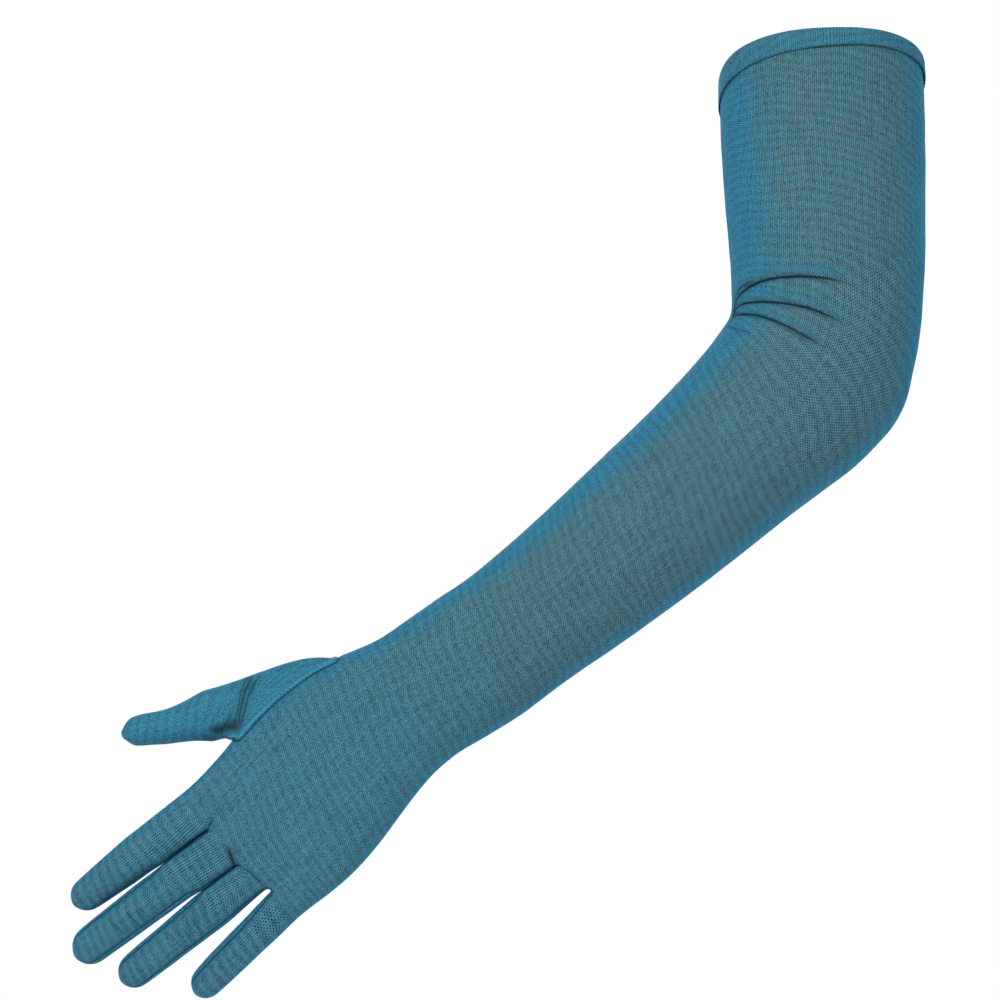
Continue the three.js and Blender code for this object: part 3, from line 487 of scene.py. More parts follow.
class Skin:
    """The whole glove as one skin of four-sided faces, each marked with its piece."""

    def __init__(self, pattern):
        self.p = pattern
        self.points, self.faces, self.piece, self.uv = [], [], [], []
        self.sew()

    def add(self, point):
        self.points.append(np.asarray(point, float))
        return len(self.points) - 1

    def face(self, corners, piece, uv):
        self.faces.append(corners)
        self.piece.append(piece)
        self.uv.append(uv)

    def sew(self):
        p = self.p
        self.sleeve = [
            [self.add(p.sleeve_point(share, c + self.seam_shift(r, c))) for c in range(COLUMNS)]
            for r, share in enumerate(RINGS)]
        around = self.ring_lengths()
        for r in range(len(RINGS) - 1):
            v0, v1 = RINGS[r] * p.length, RINGS[r + 1] * p.length
            here, ahead = self.sleeve[r], self.sleeve[r + 1]
            u0, u1 = around[r], around[r + 1]
            for c in range(COLUMNS):
                if THUMB_TOP <= r < THUMB_BOTTOM and BACK_END <= c < GUSSET_FAR:
                    continue
                n = (c + 1) % COLUMNS
                on_back = c <= THUMB_SEAM or c >= LITTLE_SEAM
                k = c - COLUMNS if c >= LITTLE_SEAM else c
                uv = ((u0(k), v0), (u0(k + 1), v0), (u1(k + 1), v1), (u1(k), v1))
                self.face((here[c], here[n], ahead[n], ahead[c]), BACK if on_back else PALM, uv)
        self.around_root = around[-1]
        self.sew_webs()
        self.sew_fingers()
        self.sew_thumb()

    def seam_shift(self, r, c):
        """How far the thumb's seam leaves its column, in columns."""
        return GUSSET_SEAM_SHIFT if c == BACK_END and THUMB_TOP < r < THUMB_BOTTOM else 0

    def ring_lengths(self):
        """For each ring, the distance round it from the middle of the back, by column."""
        out = []
        for ring in self.sleeve:
            pts = np.array([self.points[i] for i in ring])
            steps = np.linalg.norm(np.roll(pts, -1, axis=0) - pts, axis=1)
            total = steps.sum()
            run = np.concatenate([[0], np.cumsum(steps)])
            middle = (run[BACK_END // 2] + run[BACK_END // 2 + 1]) / 2

            def at(k, run=run, total=total, middle=middle):
                turns, c = divmod(k, COLUMNS)
                return run[c] + turns * total - middle

            out.append(at)
        return out

    def sew_webs(self):
        p, last = self.p, self.sleeve[-1]
        self.web = {}
        for k in [start + side for start in WEB_STARTS for side in (0, 1)]:
            top, bottom = self.points[last[k]], self.points[last[PALM_END - k]]
            inside = []
            for i in (1, 2, 3):
                dip = WEB_DIP * math.sin(math.pi * i / 4) * p.ahead
                inside.append(self.add(top + (bottom - top) * i / 4 - dip))
            self.web[k] = [last[k], *inside, last[PALM_END - k]]
        for n, k in enumerate(WEB_STARTS):
            near, far = self.web[k], self.web[k + 1]
            for i in range(4):
                u0, u1 = i * WEB_STEP, (i + 1) * WEB_STEP
                uv = ((u0, -1), (u0, 1), (u1, 1), (u1, -1))
                self.face((near[i], far[i], far[i + 1], near[i + 1]), FIRST_FORK + n, uv)

    def tube(self, rings, piece_of, uv_of):
        count = len(rings[0])
        for s in range(len(rings) - 1):
            for i in range(count):
                n = (i + 1) % count
                ids = (rings[s][i], rings[s][n], rings[s + 1][n], rings[s + 1][i])
                uv = (uv_of(s, i, i), uv_of(s, i, i + 1), uv_of(s + 1, i, i + 1), uv_of(s + 1, i, i))
                self.face(ids, piece_of(i), uv)

    def close_tip(self, ring, wide, deep, axis, height, piece_of, uv_of):
        grid = [[None] * (wide + 1) for _ in range(deep + 1)]
        order = ([(0, j) for j in range(wide + 1)] + [(i, wide) for i in range(1, deep + 1)]
                 + [(deep, j) for j in range(wide - 1, -1, -1)] + [(i, 0) for i in range(deep - 1, 0, -1)])
        for index, (i, j) in zip(ring, order):
            grid[i][j] = index
        for i in range(1, deep):
            for j in range(1, wide):
                u, v = i / deep, j / wide
                row = self.points[grid[i][0]] * (1 - v) + self.points[grid[i][wide]] * v
                col = self.points[grid[0][j]] * (1 - u) + self.points[grid[deep][j]] * u
                lift = height * math.sqrt(math.sin(math.pi * u) * math.sin(math.pi * v))
                grid[i][j] = self.add((row + col) / 2 + axis * lift)
        for i in range(deep):
            for j in range(wide):
                ids = (grid[i][j], grid[i][j + 1], grid[i + 1][j + 1], grid[i + 1][j])
                uv = tuple(uv_of(a, b) for a, b in ((i, j), (i, j + 1), (i + 1, j + 1), (i + 1, j)))
                self.face(ids, piece_of(i), uv)

    def sew_fingers(self):
        p, s, last = self.p, self.p.s, self.sleeve[-1]
        full = s.middle_finger / MM
        for f, (name, share, side_share, turn, widths, drop) in enumerate(FINGERS):
            angles = finger_angles(name)
            k = 4 * f
            radial = self.web[k + 3][1:4] if f < 3 else last[BACK_END + 1:PALM_START]
            ulnar = self.web[k][1:4][::-1] if f > 0 else last[PALM_END + 1:COLUMNS]
            root = [*last[k:k + 4], *radial, *last[PALM_END - k - 3:PALM_END - k + 1], *ulnar]
            length = share * full
            turn = math.radians(turn)
            axis = p.ahead * math.cos(turn) + p.across * math.sin(turn)
            side = p.across * math.cos(turn) - p.ahead * math.sin(turn)
            base = p.roots + p.across * side_share * p.hand_width

            def width(t):
                return float(np.interp(t, [0, 0.25, 0.5, 0.75, 1], widths)) * s.finger_width / MM

            def centre(t):
                lean = TIP_LEAN * s.finger_width / MM * t ** 4
                return base + axis * t * length + side * lean + p.out_of_back * (0.6 - drop * full * t * t)

            dome_start = 1 - 0.52 * width(1) / length
            rings, runs = [root], [0.0]

            def ring_at(t, scale, w):
                tangent = unit(centre(t + 0.02) - centre(t - 0.02))
                back = unit(np.cross(tangent, side))
                wide = width(t) / 2 * scale
                ring = []
                for i, angle in enumerate(angles):
                    q = centre(t) + side * wide * math.cos(angle)
                    q = q + back * wide * FINGER_DEPTH * math.sin(angle)
                    start = self.points[root[i]] + axis * t * length
                    ring.append(self.add(start + (q - start) * w))
                rings.append(ring)
                runs.append(t * length)

            for step in FINGER_STEPS:
                t = step * dome_start / 0.88
                ring_at(t, 1, float(smooth(t / 0.26)))
            for d in DOME:
                ring_at(dome_start + (1 - dome_start) * d, math.sqrt(1 - d * d), 1)
            near = FIRST_FORK + f - 1 if f > 0 else None
            far = FIRST_FORK + f if f < 3 else None

            def piece_of(i, near=near, far=far):
                if i <= LAST_BACK:
                    return BACK
                if i <= LAST_FAR:
                    return far if far is not None else (BACK if i <= HALF_FAR else PALM)
                if i <= LAST_PALM:
                    return PALM
                return near if near is not None else (BACK if i >= HALF_NEAR else PALM)

            middle_back = (self.around_root(k + 1) + self.around_root(k + 2)) / 2
            middle_palm = (self.around_root(PALM_END - 2 - k) + self.around_root(PALM_END - 1 - k)) / 2
            near_seam, far_seam = BACK_SEAMS[name]
            back_step = width(0.3) * STEP_A_DEGREE * (far_seam - near_seam)
            palm_step = width(0.3) * STEP_A_DEGREE * (PALM_SEAMS[1] - PALM_SEAMS[0])

            def uv_of(ring, face, i, k=k, runs=runs, radial=f < 3, ulnar=f > 0):
                v = p.length + runs[ring]
                is_far, is_near = face <= LAST_FAR, face > LAST_PALM
                on_back = face <= LAST_BACK or (face <= HALF_FAR and not radial)
                if on_back or (face >= HALF_NEAR and not ulnar):
                    j = i if is_far else i - FINGER_SIDES
                    u = middle_back + (j - 1.5) * back_step
                    return (self.around_root(k + j) if ring == 0 else u, v)
                if not (is_far or is_near) or (is_far and not radial) or (is_near and not ulnar):
                    u = middle_palm + (i - 8.5) * palm_step
                    return (self.around_root(PALM_END - 10 - k + i) if ring == 0 else u, v)
                if is_far:
                    return (i - 3) * FORK_STEP, v - p.length + 1
                return (FINGER_SIDES - i) * FORK_STEP, v - p.length + 300

            self.tube(rings, piece_of, uv_of)
            end = p.length + runs[-1]

            def tip_uv(i, j, step=back_step * 0.6, middles=(middle_back, middle_palm), end=end):
                return middles[0 if i < 2 else 1] + (j - 1.5) * step, end + i

            self.close_tip(
                rings[-1], 3, 4, axis, TIP_LIFT * width(1), lambda i: BACK if i < 2 else PALM, tip_uv)

    def sew_thumb(self):
        p, s = self.p, self.p.s
        sl = self.sleeve
        loop = sl[THUMB_TOP][BACK_END:GUSSET_FAR + 1]
        loop += [sl[r][GUSSET_FAR] for r in range(THUMB_TOP + 1, THUMB_BOTTOM + 1)]
        loop += sl[THUMB_BOTTOM][BACK_END:GUSSET_FAR][::-1]
        loop += [sl[r][BACK_END] for r in range(THUMB_BOTTOM - 1, THUMB_TOP, -1)]
        length, wide = s.thumb_length / MM, s.thumb_width / MM
        spread = s.thumb_spread
        axis = p.ahead * math.cos(spread) - p.across * math.sin(spread)
        up = -p.across * math.cos(spread) - p.ahead * math.sin(spread)
        palmward = -p.out_of_back
        centre = p.frame_at(THUMB_ROOT["at"])[0]
        base = centre + p.ahead * THUMB_ROOT["ahead"] * length
        base = base + (p.across * THUMB_ROOT["side"] + palmward * THUMB_ROOT["palm"]) * p.hand_width

        def ring_points(along, rise, w, d, scale=1.0):
            out = []
            for i in range(THUMB_SIDES):
                turn = TURN * (i - 3) / THUMB_SIDES
                out.append(base + axis * along * length + up * (rise + w / 2 * scale * math.cos(turn)) * wide
                           + palmward * d / 2 * scale * math.sin(turn) * wide)
            return out

        first = ring_points(*THUMB[0])
        leave = []
        for i in range(THUMB_SIDES):
            total = np.zeros(3)
            for at, on, over, down in GUSSET_WAYS:
                gap = min(abs(i - at), THUMB_SIDES - abs(i - at))
                way = p.ahead * on + p.across * over + palmward * down
                total = total + way * max(0.0, 1 - gap / 5) ** 1.2
            leave.append(unit(total))
        rings = [loop]
        for t in THUMB_RAMP:
            ring = []
            for i, index in enumerate(loop):
                start, end = self.points[index], first[i]
                reach = np.linalg.norm(end - start)
                ring.append(self.add(
                    (2 * t ** 3 - 3 * t ** 2 + 1) * start + (t ** 3 - 2 * t ** 2 + t) * reach * leave[i]
                    + (-2 * t ** 3 + 3 * t ** 2) * end + (t ** 3 - t ** 2) * reach * axis))
            rings.append(ring)
        for along, rise, w, d in THUMB:
            rings.append([self.add(q) for q in ring_points(along, rise, w, d)])
        along0, rise, w, d = THUMB[-1]
        for dome in DOME:
            along = along0 + THUMB_DOME_START + (1 - along0 - THUMB_DOME_START) * dome
            rings.append([self.add(q) for q in ring_points(along, rise, w, d, math.sqrt(1 - dome * dome))])
        knit = self.lay_knit(rings, THUMB_KNIT_SIDE)
        self.tube(rings, lambda i: THUMB_PIECE, lambda ring, face, i: knit[ring][i])
        self.close_tip(rings[-1], 6, 4, axis, TIP_LIFT * wide, lambda i: THUMB_PIECE,
                       lambda i, j: (j * 1.6, knit[-1][0][1] + i * 1.6))

    def lay_knit(self, rings, middle):
        """Knit coordinates of a tube: distance round each ring from one place, and along it there."""
        count = len(rings[0])
        out, run = [], 0.0
        for s, ring in enumerate(rings):
            pts = np.array([self.points[i] for i in ring])
            if s > 0:
                run += np.linalg.norm(pts[middle] - self.points[rings[s - 1][middle]])
            steps = np.linalg.norm(np.roll(pts, -1, axis=0) - pts, axis=1)
            around = np.concatenate([[0], np.cumsum(steps)])
            half = middle - count // 2
            row = []
            for i in range(count + 1):
                u = around[i] - around[middle] + (steps.sum() if i < half else 0.0)
                row.append((u, run))
            out.append(row)
        return out


def refine(skin, levels):
    """The skin subdivided to a smooth fine mesh, as arrays in millimetres."""
    mesh = bpy.data.meshes.new("skin")
    mesh.from_pydata([tuple(q) for q in skin.points], [], skin.faces)
    for k in range(len(PIECES)):
        mesh.materials.append(None)
    mesh.polygons.foreach_set("material_index", skin.piece)
    layer = mesh.uv_layers.new(name="knit")
    layer.uv.foreach_set("vector", np.array(skin.uv, np.float32).ravel())
    obj = bpy.data.objects.new("skin", mesh)
    bpy.context.scene.collection.objects.link(obj)
    mod = obj.modifiers.new("Fine", "SUBSURF")
    mod.levels = mod.render_levels = levels
    mod.uv_smooth = "PRESERVE_BOUNDARIES"
    mod.boundary_smooth = "ALL"
    fine = bpy.data.meshes.new_from_object(obj.evaluated_get(bpy.context.evaluated_depsgraph_get()))
    co = np.zeros(len(fine.vertices) * 3, np.float32)
    fine.vertices.foreach_get("co", co)
    faces = np.zeros(len(fine.polygons) * 4, np.int32)
    fine.loops.foreach_get("vertex_index", faces)
    piece = np.zeros(len(fine.polygons), np.int32)
    fine.polygons.foreach_get("material_index", piece)
    uv = np.zeros(len(fine.loops) * 2, np.float32)
    fine.uv_layers[0].uv.foreach_get("vector", uv)
    bpy.data.objects.remove(obj)
    bpy.data.meshes.remove(fine)
    bpy.data.meshes.remove(mesh)
    return {
        "co": co.reshape(-1, 3).astype(float), "faces": faces.reshape(-1, 4),
        "piece": piece, "uv": uv.reshape(-1, 4, 2),
    }


def bell(gap, width):
    """1 where the gap is nothing, falling off softly over the width."""
    return np.exp(-((gap / width) ** 2))


def vertex_normals(co, faces):
    q = co[faces]
    n = np.cross(q[:, 2] - q[:, 0], q[:, 3] - q[:, 1])
    out = np.zeros_like(co)
    for k in range(4):
        np.add.at(out, faces[:, k], n)
    return out / np.maximum(np.linalg.norm(out, axis=1), 1e-12)[:, None]


def along_line(x, z, run):
    """Signed gap between places (x, z) and a line, positive on its left, and how far along they are."""
    pts = np.array(run)
    best, gap, along = np.full(len(x), 1e9), np.zeros(len(x)), np.zeros(len(x))
    steps = np.linalg.norm(np.diff(pts, axis=0), axis=1)
    done = 0.0
    for a, b, step in zip(pts[:-1], pts[1:], steps):
        d = (b - a) / step
        t = np.clip((x - a[0]) * d[0] + (z - a[1]) * d[1], 0, step)
        dx, dz = x - a[0] - t * d[0], z - a[1] - t * d[1]
        dist = np.hypot(dx, dz)
        closer = dist < best
        best = np.where(closer, dist, best)
        gap = np.where(closer, dist * np.sign(d[0] * dz - d[1] * dx), gap)
        along = np.where(closer, (done + t) / steps.sum(), along)
        done += step
    return gap, along


def on_cloth(part, places, cloth):
    """Places in a part of the picture as (x, z) on the cloth that shows there, in millimetres."""
    pixel = (cloth[:, 1] - EYE[1]) / EYE_DISTANCE * PIXEL
    seen_across, seen_up = (cloth[:, 0] - EYE[0]) / pixel, (cloth[:, 2] - EYE[2]) / pixel
    left, top, enlarged = ENLARGED[part]
    out = []
    for right, down in places:
        across = left + right / enlarged - PICTURE / 2
        up = PICTURE / 2 - top - down / enlarged
        near = np.argsort(np.hypot(seen_across - across, seen_up - up))[:NEAR_POINTS]
        size = pixel[near].min()
        out.append((round(EYE[0] + across * size, 1), round(EYE[2] + up * size, 1)))
    return out


def drape(fine):
    """Folds, wrinkles and soft unevenness of the worn cloth."""
    co, faces = fine["co"], fine["faces"]
    n = vertex_normals(co, faces)
    x, z = co[:, 0], co[:, 2]
    cloth = co[n[:, 1] < 0.1]
    facing = smooth((-n[:, 1] + 0.22) / 0.42)
    raised = smooth((-n[:, 1] - 0.02) / 0.48)
    lift = np.zeros(len(co))
    gaps = [np.full(len(co), FAR_OFF) for _ in range(LINE_GROUPS)]
    powers = [np.zeros(len(co)) for _ in range(LINE_GROUPS)]
    for part, places, group, line, dent, roll, dent_width, roll_width, side in FOLDS.values():
        gap, along = along_line(x, z, on_cloth(part, places, cloth))
        gap = gap * side
        fade = smooth((1.06 - along) / 0.30) * smooth((along + 0.14) / 0.20)
        bulge = np.where(gap > 0, roll * bell(gap - roll_width * 1.1, roll_width), 0.0)
        lift += (bulge - dent * bell(gap, dent_width)) * fade * raised
        # Strength of the crease's line of painted shade, the painted shadow below it and the painted
        # highlight on its roll
        power = line * fade * facing * smooth((4.5 - np.abs(gap)) / 2.5)
        closer = np.abs(gap) < np.abs(gaps[group])
        gaps[group] = np.where(closer, gap, gaps[group])
        powers[group] = np.where(closer, power, powers[group])
    # Painted shade where the cloth turns under, beside the fingers and under the thumb
    shade = np.zeros(len(co))
    for part, places, width, dark in SHADES.values():
        gap, _ = along_line(x, z, on_cloth(part, places, cloth))
        shade = np.maximum(shade, dark * bell(gap, width) * facing)
    for scale, shift, height in UNEVEN:
        lift += np.array([noise.noise(Vector(q) * scale + Vector(shift)) * height for q in co])
    fine["co"] = co + n * lift[:, None]
    fine["lift"], fine["shade"] = lift, shade
    for group in range(LINE_GROUPS):
        fine[f"crease_{group}"] = np.clip(gaps[group], -FAR_OFF, FAR_OFF)
        fine[f"crease_power_{group}"] = powers[group]


def find_seams(fine):
    """Edges where two pieces meet, and for each point the distance to the nearest one."""
    faces, piece = fine["faces"], fine["piece"]
    seen = {}
    for f in range(len(faces)):
        for k in range(4):
            a, b = int(faces[f, k]), int(faces[f, (k + 1) % 4])
            seen.setdefault((min(a, b), max(a, b)), []).append(int(piece[f]))
    fine["seams"] = {edge: tuple(sorted(ps)) for edge, ps in seen.items() if len(ps) == 2 and ps[0] != ps[1]}
    fine["rims"] = [edge for edge, ps in seen.items() if len(ps) == 1]
    tree = KDTree(2 * len(fine["seams"]))
    i = 0
    for a, b in fine["seams"]:
        for v in (a, b):
            tree.insert(Vector(fine["co"][v]), i)
            i += 1
    tree.balance()
    fine["seam_gap"] = np.array([tree.find(Vector(q))[2] for q in fine["co"]])


# Seams in millimetres: depth on the cloth and on a fingertip, width, then height, distance from the
# seam and width of the thumb's turned-in edge
SEAM_DIP, TIP_SEAM_DIP, SEAM_WIDTH = 0.42, 0.05, 0.7
WELT_HEIGHT, WELT_PLACE, WELT_WIDTH = 0.55, 1.8, 0.6


def press_seams(fine, pattern):
    """The cloth dips into each seam, and the thumb's turned-in edge stands proud beside its seam."""
    n = vertex_normals(fine["co"], fine["faces"])
    gap = fine["seam_gap"]
    on_tip = smooth((n @ pattern.ahead - 0.15) / 0.4)
    press = (SEAM_DIP - (SEAM_DIP - TIP_SEAM_DIP) * on_tip) * bell(gap, SEAM_WIDTH)
    on_thumb = np.zeros(len(gap), bool)
    on_thumb[fine["faces"][fine["piece"] == THUMB_PIECE].ravel()] = True
    welt = np.where(on_thumb, WELT_HEIGHT * bell(gap - WELT_PLACE, WELT_WIDTH), 0.0)
    fine["co"] = fine["co"] + n * (welt - press)[:, None]
    fine["normal"] = vertex_normals(fine["co"], fine["faces"])
    # Painted sheen and light: the edge tone goes where the cloth turns away sideways and where it faces the
    # key light
    facing_key_light = np.clip(fine["normal"] @ np.array([-0.6, 0.0, 0.8]), 0, 1)
    fine["painted_sheen_off"] = smooth((np.abs(fine["normal"][:, 1]) - 0.36 - 0.16 * facing_key_light) / 0.44)


# Where neighbouring fingers lie against each other: web, and how far along, in millimetres
TOUCHING = [(1, 21.0), (2, 27.0)]
# Share of the gap that is closed, how wide a gap closes, and half a finger's depth with room to spare
CLOSENESS, CLOSE_WIDTH, FINGER_REACH = 0.97, 4.2, 12


def close_fingers(fine, pattern):
    """Brings the sides of neighbouring fingers together near their roots."""
    co = fine["co"]
    for web, reach in TOUCHING:
        side, _, ahead = WEBS[web]
        turn = math.radians((FINGERS[web][3] + FINGERS[web + 1][3]) / 2)
        along_dir = pattern.ahead * math.cos(turn) + pattern.across * math.sin(turn)
        side_dir = pattern.across * math.cos(turn) - pattern.ahead * math.sin(turn)
        rel = co - (pattern.roots + pattern.across * side * pattern.hand_width)
        along, off = rel @ along_dir, rel @ side_dir
        near = np.abs(rel @ pattern.out_of_back) < FINGER_REACH
        w = smooth((along - ahead * pattern.hand_width + 3.2) / 2.5) * smooth((reach + 4 - along) / 8) * near
        co -= side_dir[None, :] * (off * CLOSENESS * w * bell(off, CLOSE_WIDTH))[:, None]
    fine["co"] = co


# What each point of the cloth knows for its finish and its painted light and shade, with the value on plain
# cloth
MARKS = {"seam_gap": FAR_OFF, "lift": 0.0, "shade": 0.0, "painted_sheen_off": 1.0}
MARKS.update({f"crease_{group}": FAR_OFF for group in range(LINE_GROUPS)})
MARKS.update({f"crease_power_{group}": 0.0 for group in range(LINE_GROUPS)})


# Millimetres that each piece's edge is drawn back from the seam
SEAM_SLIT = 0.04


def smooth_object(name, points, faces, knit, marks):
    """A smooth object from points in metres, with knit coordinates for each corner and its marks."""
    mesh = bpy.data.meshes.new(name)
    mesh.from_pydata(points, [], faces)
    if knit is not None:
        mesh.uv_layers.new(name="knit").uv.foreach_set("vector", np.asarray(knit, np.float32).ravel())
    for key, values in marks.items():
        layer = mesh.attributes.new(key, "FLOAT", "POINT")
        layer.data.foreach_set("value", values.astype(np.float32).ravel())
    mesh.polygons.foreach_set("use_smooth", np.ones(len(mesh.polygons), bool))
    obj = bpy.data.objects.new(name, mesh)
    bpy.context.scene.collection.objects.link(obj)
    return obj


def wall_mesh(fine, piece, thickness, name):
    """One piece as a closed thin wall, with its knit coordinates and seam distances."""
    own = np.nonzero(fine["piece"] == piece)[0]
    faces = fine["faces"][own]
    used, local = np.unique(faces, return_inverse=True)
    local = local.reshape(-1, 4)
    count = len(used)
    co, n = fine["co"][used], fine["normal"][used]
    edges = {}
    for f in range(len(local)):
        for k in range(4):
            edges[(int(local[f, k]), int(local[f, (k + 1) % 4]))] = (f, k)
    rim = [(a, b, *edges[(a, b)]) for a, b in edges if (b, a) not in edges]
    pull = np.zeros((count, 3))
    for a, b, f, k in rim:
        q = co[local[f]]
        fn = np.cross(q[2] - q[0], q[3] - q[1])
        inward = unit(np.cross(unit(fn), unit(co[b] - co[a])))
        pull[a] += inward
        pull[b] += inward
    size = np.linalg.norm(pull, axis=1)
    edge_points = size > 1e-6
    outer = co.copy()
    outer[edge_points] += pull[edge_points] / size[edge_points][:, None] * SEAM_SLIT
    inner = outer - n * thickness
    rim_faces = [(b, a, a + count, b + count) for a, b, _, _ in rim]
    all_faces = local.tolist() + (local + count)[:, ::-1].tolist() + rim_faces
    uv = fine["uv"][own]
    rim_uv = np.array([uv[f][[(k + 1) % 4, k, k, (k + 1) % 4]] for _, _, f, k in rim])
    knit = np.vstack([uv, uv[:, ::-1], rim_uv])
    marks = {key: np.tile(fine[key][used], 2) for key in MARKS}
    return smooth_object(name, (np.vstack([outer, inner]) * MM).tolist(), all_faces, knit, marks)


class Socket:
    """A shader value that can be used in ordinary sums."""

    def __init__(self, shader, link):
        self.shader, self.link = shader, link

    def maths(self, operation, *others, flip=False):
        values = (*others, self) if flip else (self, *others)
        return self.shader.node("ShaderNodeMath", {"operation": operation}, dict(enumerate(values)))

    def __add__(self, other):
        return self.maths("ADD", other)

    def __radd__(self, other):
        return self.maths("ADD", other, flip=True)

    def __sub__(self, other):
        return self.maths("SUBTRACT", other)

    def __rsub__(self, other):
        return self.maths("SUBTRACT", other, flip=True)

    def __mul__(self, other):
        return self.maths("MULTIPLY", other)

    def __rmul__(self, other):
        return self.maths("MULTIPLY", other, flip=True)

    def cos(self):
        return self.maths("COSINE")

    def size(self):
        return self.maths("ABSOLUTE")

    def sin(self):
        return self.maths("SINE")

    def clamp(self):
        return self.shader.node("ShaderNodeClamp", {}, {"Value": self})

    def ramp(self, low, high):
        """0 at low, 1 at high, smoothly."""
        return self.shader.node(
            "ShaderNodeMapRange", {"interpolation_type": "SMOOTHSTEP"},
            {"Value": self, "From Min": low, "From Max": high, "To Min": 0.0, "To Max": 1.0})

    def between(self, rise, fall):
        """1 from the end of one ramp to the start of the next, 0 outside them."""
        return self.ramp(*rise) * (1.0 - self.ramp(*fall))


class Shader:
    """A material's node tree, written as expressions."""

    def __init__(self, name):
        self.material = bpy.data.materials.new(name)
        self.material.use_nodes = True
        self.tree = self.material.node_tree
        self.tree.nodes.clear()
        self.out = self.tree.nodes.new("ShaderNodeOutputMaterial")

    def node(self, kind, settings, values, output=0):
        made = self.tree.nodes.new(kind)
        for name, value in settings.items():
            setattr(made, name, value)
        for key, value in values.items():
            socket = made.inputs[key]
            if isinstance(value, Socket):
                self.tree.links.new(value.link, socket)
            else:
                socket.default_value = value
        return Socket(self, made.outputs[output])

    def part(self, vector, index):
        return self.node("ShaderNodeSeparateXYZ", {}, {"Vector": vector}, index)

    def vector(self, x, y, z):
        return self.node("ShaderNodeCombineXYZ", {}, {"X": x, "Y": y, "Z": z})

    def shifted(self, place, step):
        return self.node("ShaderNodeVectorMath", {"operation": "ADD"}, {0: place, 1: (step, step, step)})

    def scaled(self, tone, amount):
        return self.node("ShaderNodeVectorMath", {"operation": "SCALE"}, {0: tone, "Scale": amount})

    def noise(self, place, scale, detail):
        return self.node("ShaderNodeTexNoise", {"noise_dimensions": "3D"}, {
            "Vector": place, "Scale": scale, "Detail": detail, "Roughness": 0.55})

    def mix(self, factor, a, b):
        made = self.tree.nodes.new("ShaderNodeMix")
        made.data_type = "RGBA"
        for socket, value in ((made.inputs[0], factor), (made.inputs[6], a), (made.inputs[7], b)):
            if isinstance(value, Socket):
                self.tree.links.new(value.link, socket)
            else:
                socket.default_value = (*rgb(value), 1.0) if hasattr(value, "__len__") else value
        return Socket(self, made.outputs[2])

    def finish(self, **values):
        made = self.node("ShaderNodeBsdfPrincipled", {}, values)
        self.tree.links.new(made.link, self.out.inputs["Surface"])
        return self.material


def rgb(c):
    return (c[0], c[1], c[2])


# Light and dark of the knit: depth of its openings, specks, fuzz and streaks, and how dark a seam is,
# how dark the painted shade along a crease is and how dark the painted shadow under a fold is
KNIT_DEPTH, SPECK_DEPTH, FUZZ_DEPTH, STREAK_DEPTH = 0.72, 1.35, 0.9, 0.55
STITCH_DARK, CREASE_SHADE, FOLD_SHADOW_DARK = 0.66, 0.86, 0.34
# Ranges in millimetres: distance from a seam where its turned-in edge and its stitches end, lift of
# gathered cloth, gap from a crease line, and distance along the glove to the hand and the fingers
TURNED_IN, STITCH_LINE, GATHERED, CREASE_LINE = (1.5, 2.6), (0.22, 0.62), (0.6, 1.8), (0.16, 0.62)
TO_HAND, TO_FINGERS = (290.0, 430.0), (470.0, 505.0)
# Where each starts and where it ends: painted shadow under a fold, the roll above it, painted highlight on
# the thumb's welt
FOLD_SHADOW = ((-2.8, -0.3), (-0.1, 0.4))
ON_ROLL = ((0.4, 1.5), (2.4, 4.4))
WELT_HIGHLIGHT = ((0.8, 1.5), (1.9, 2.6))


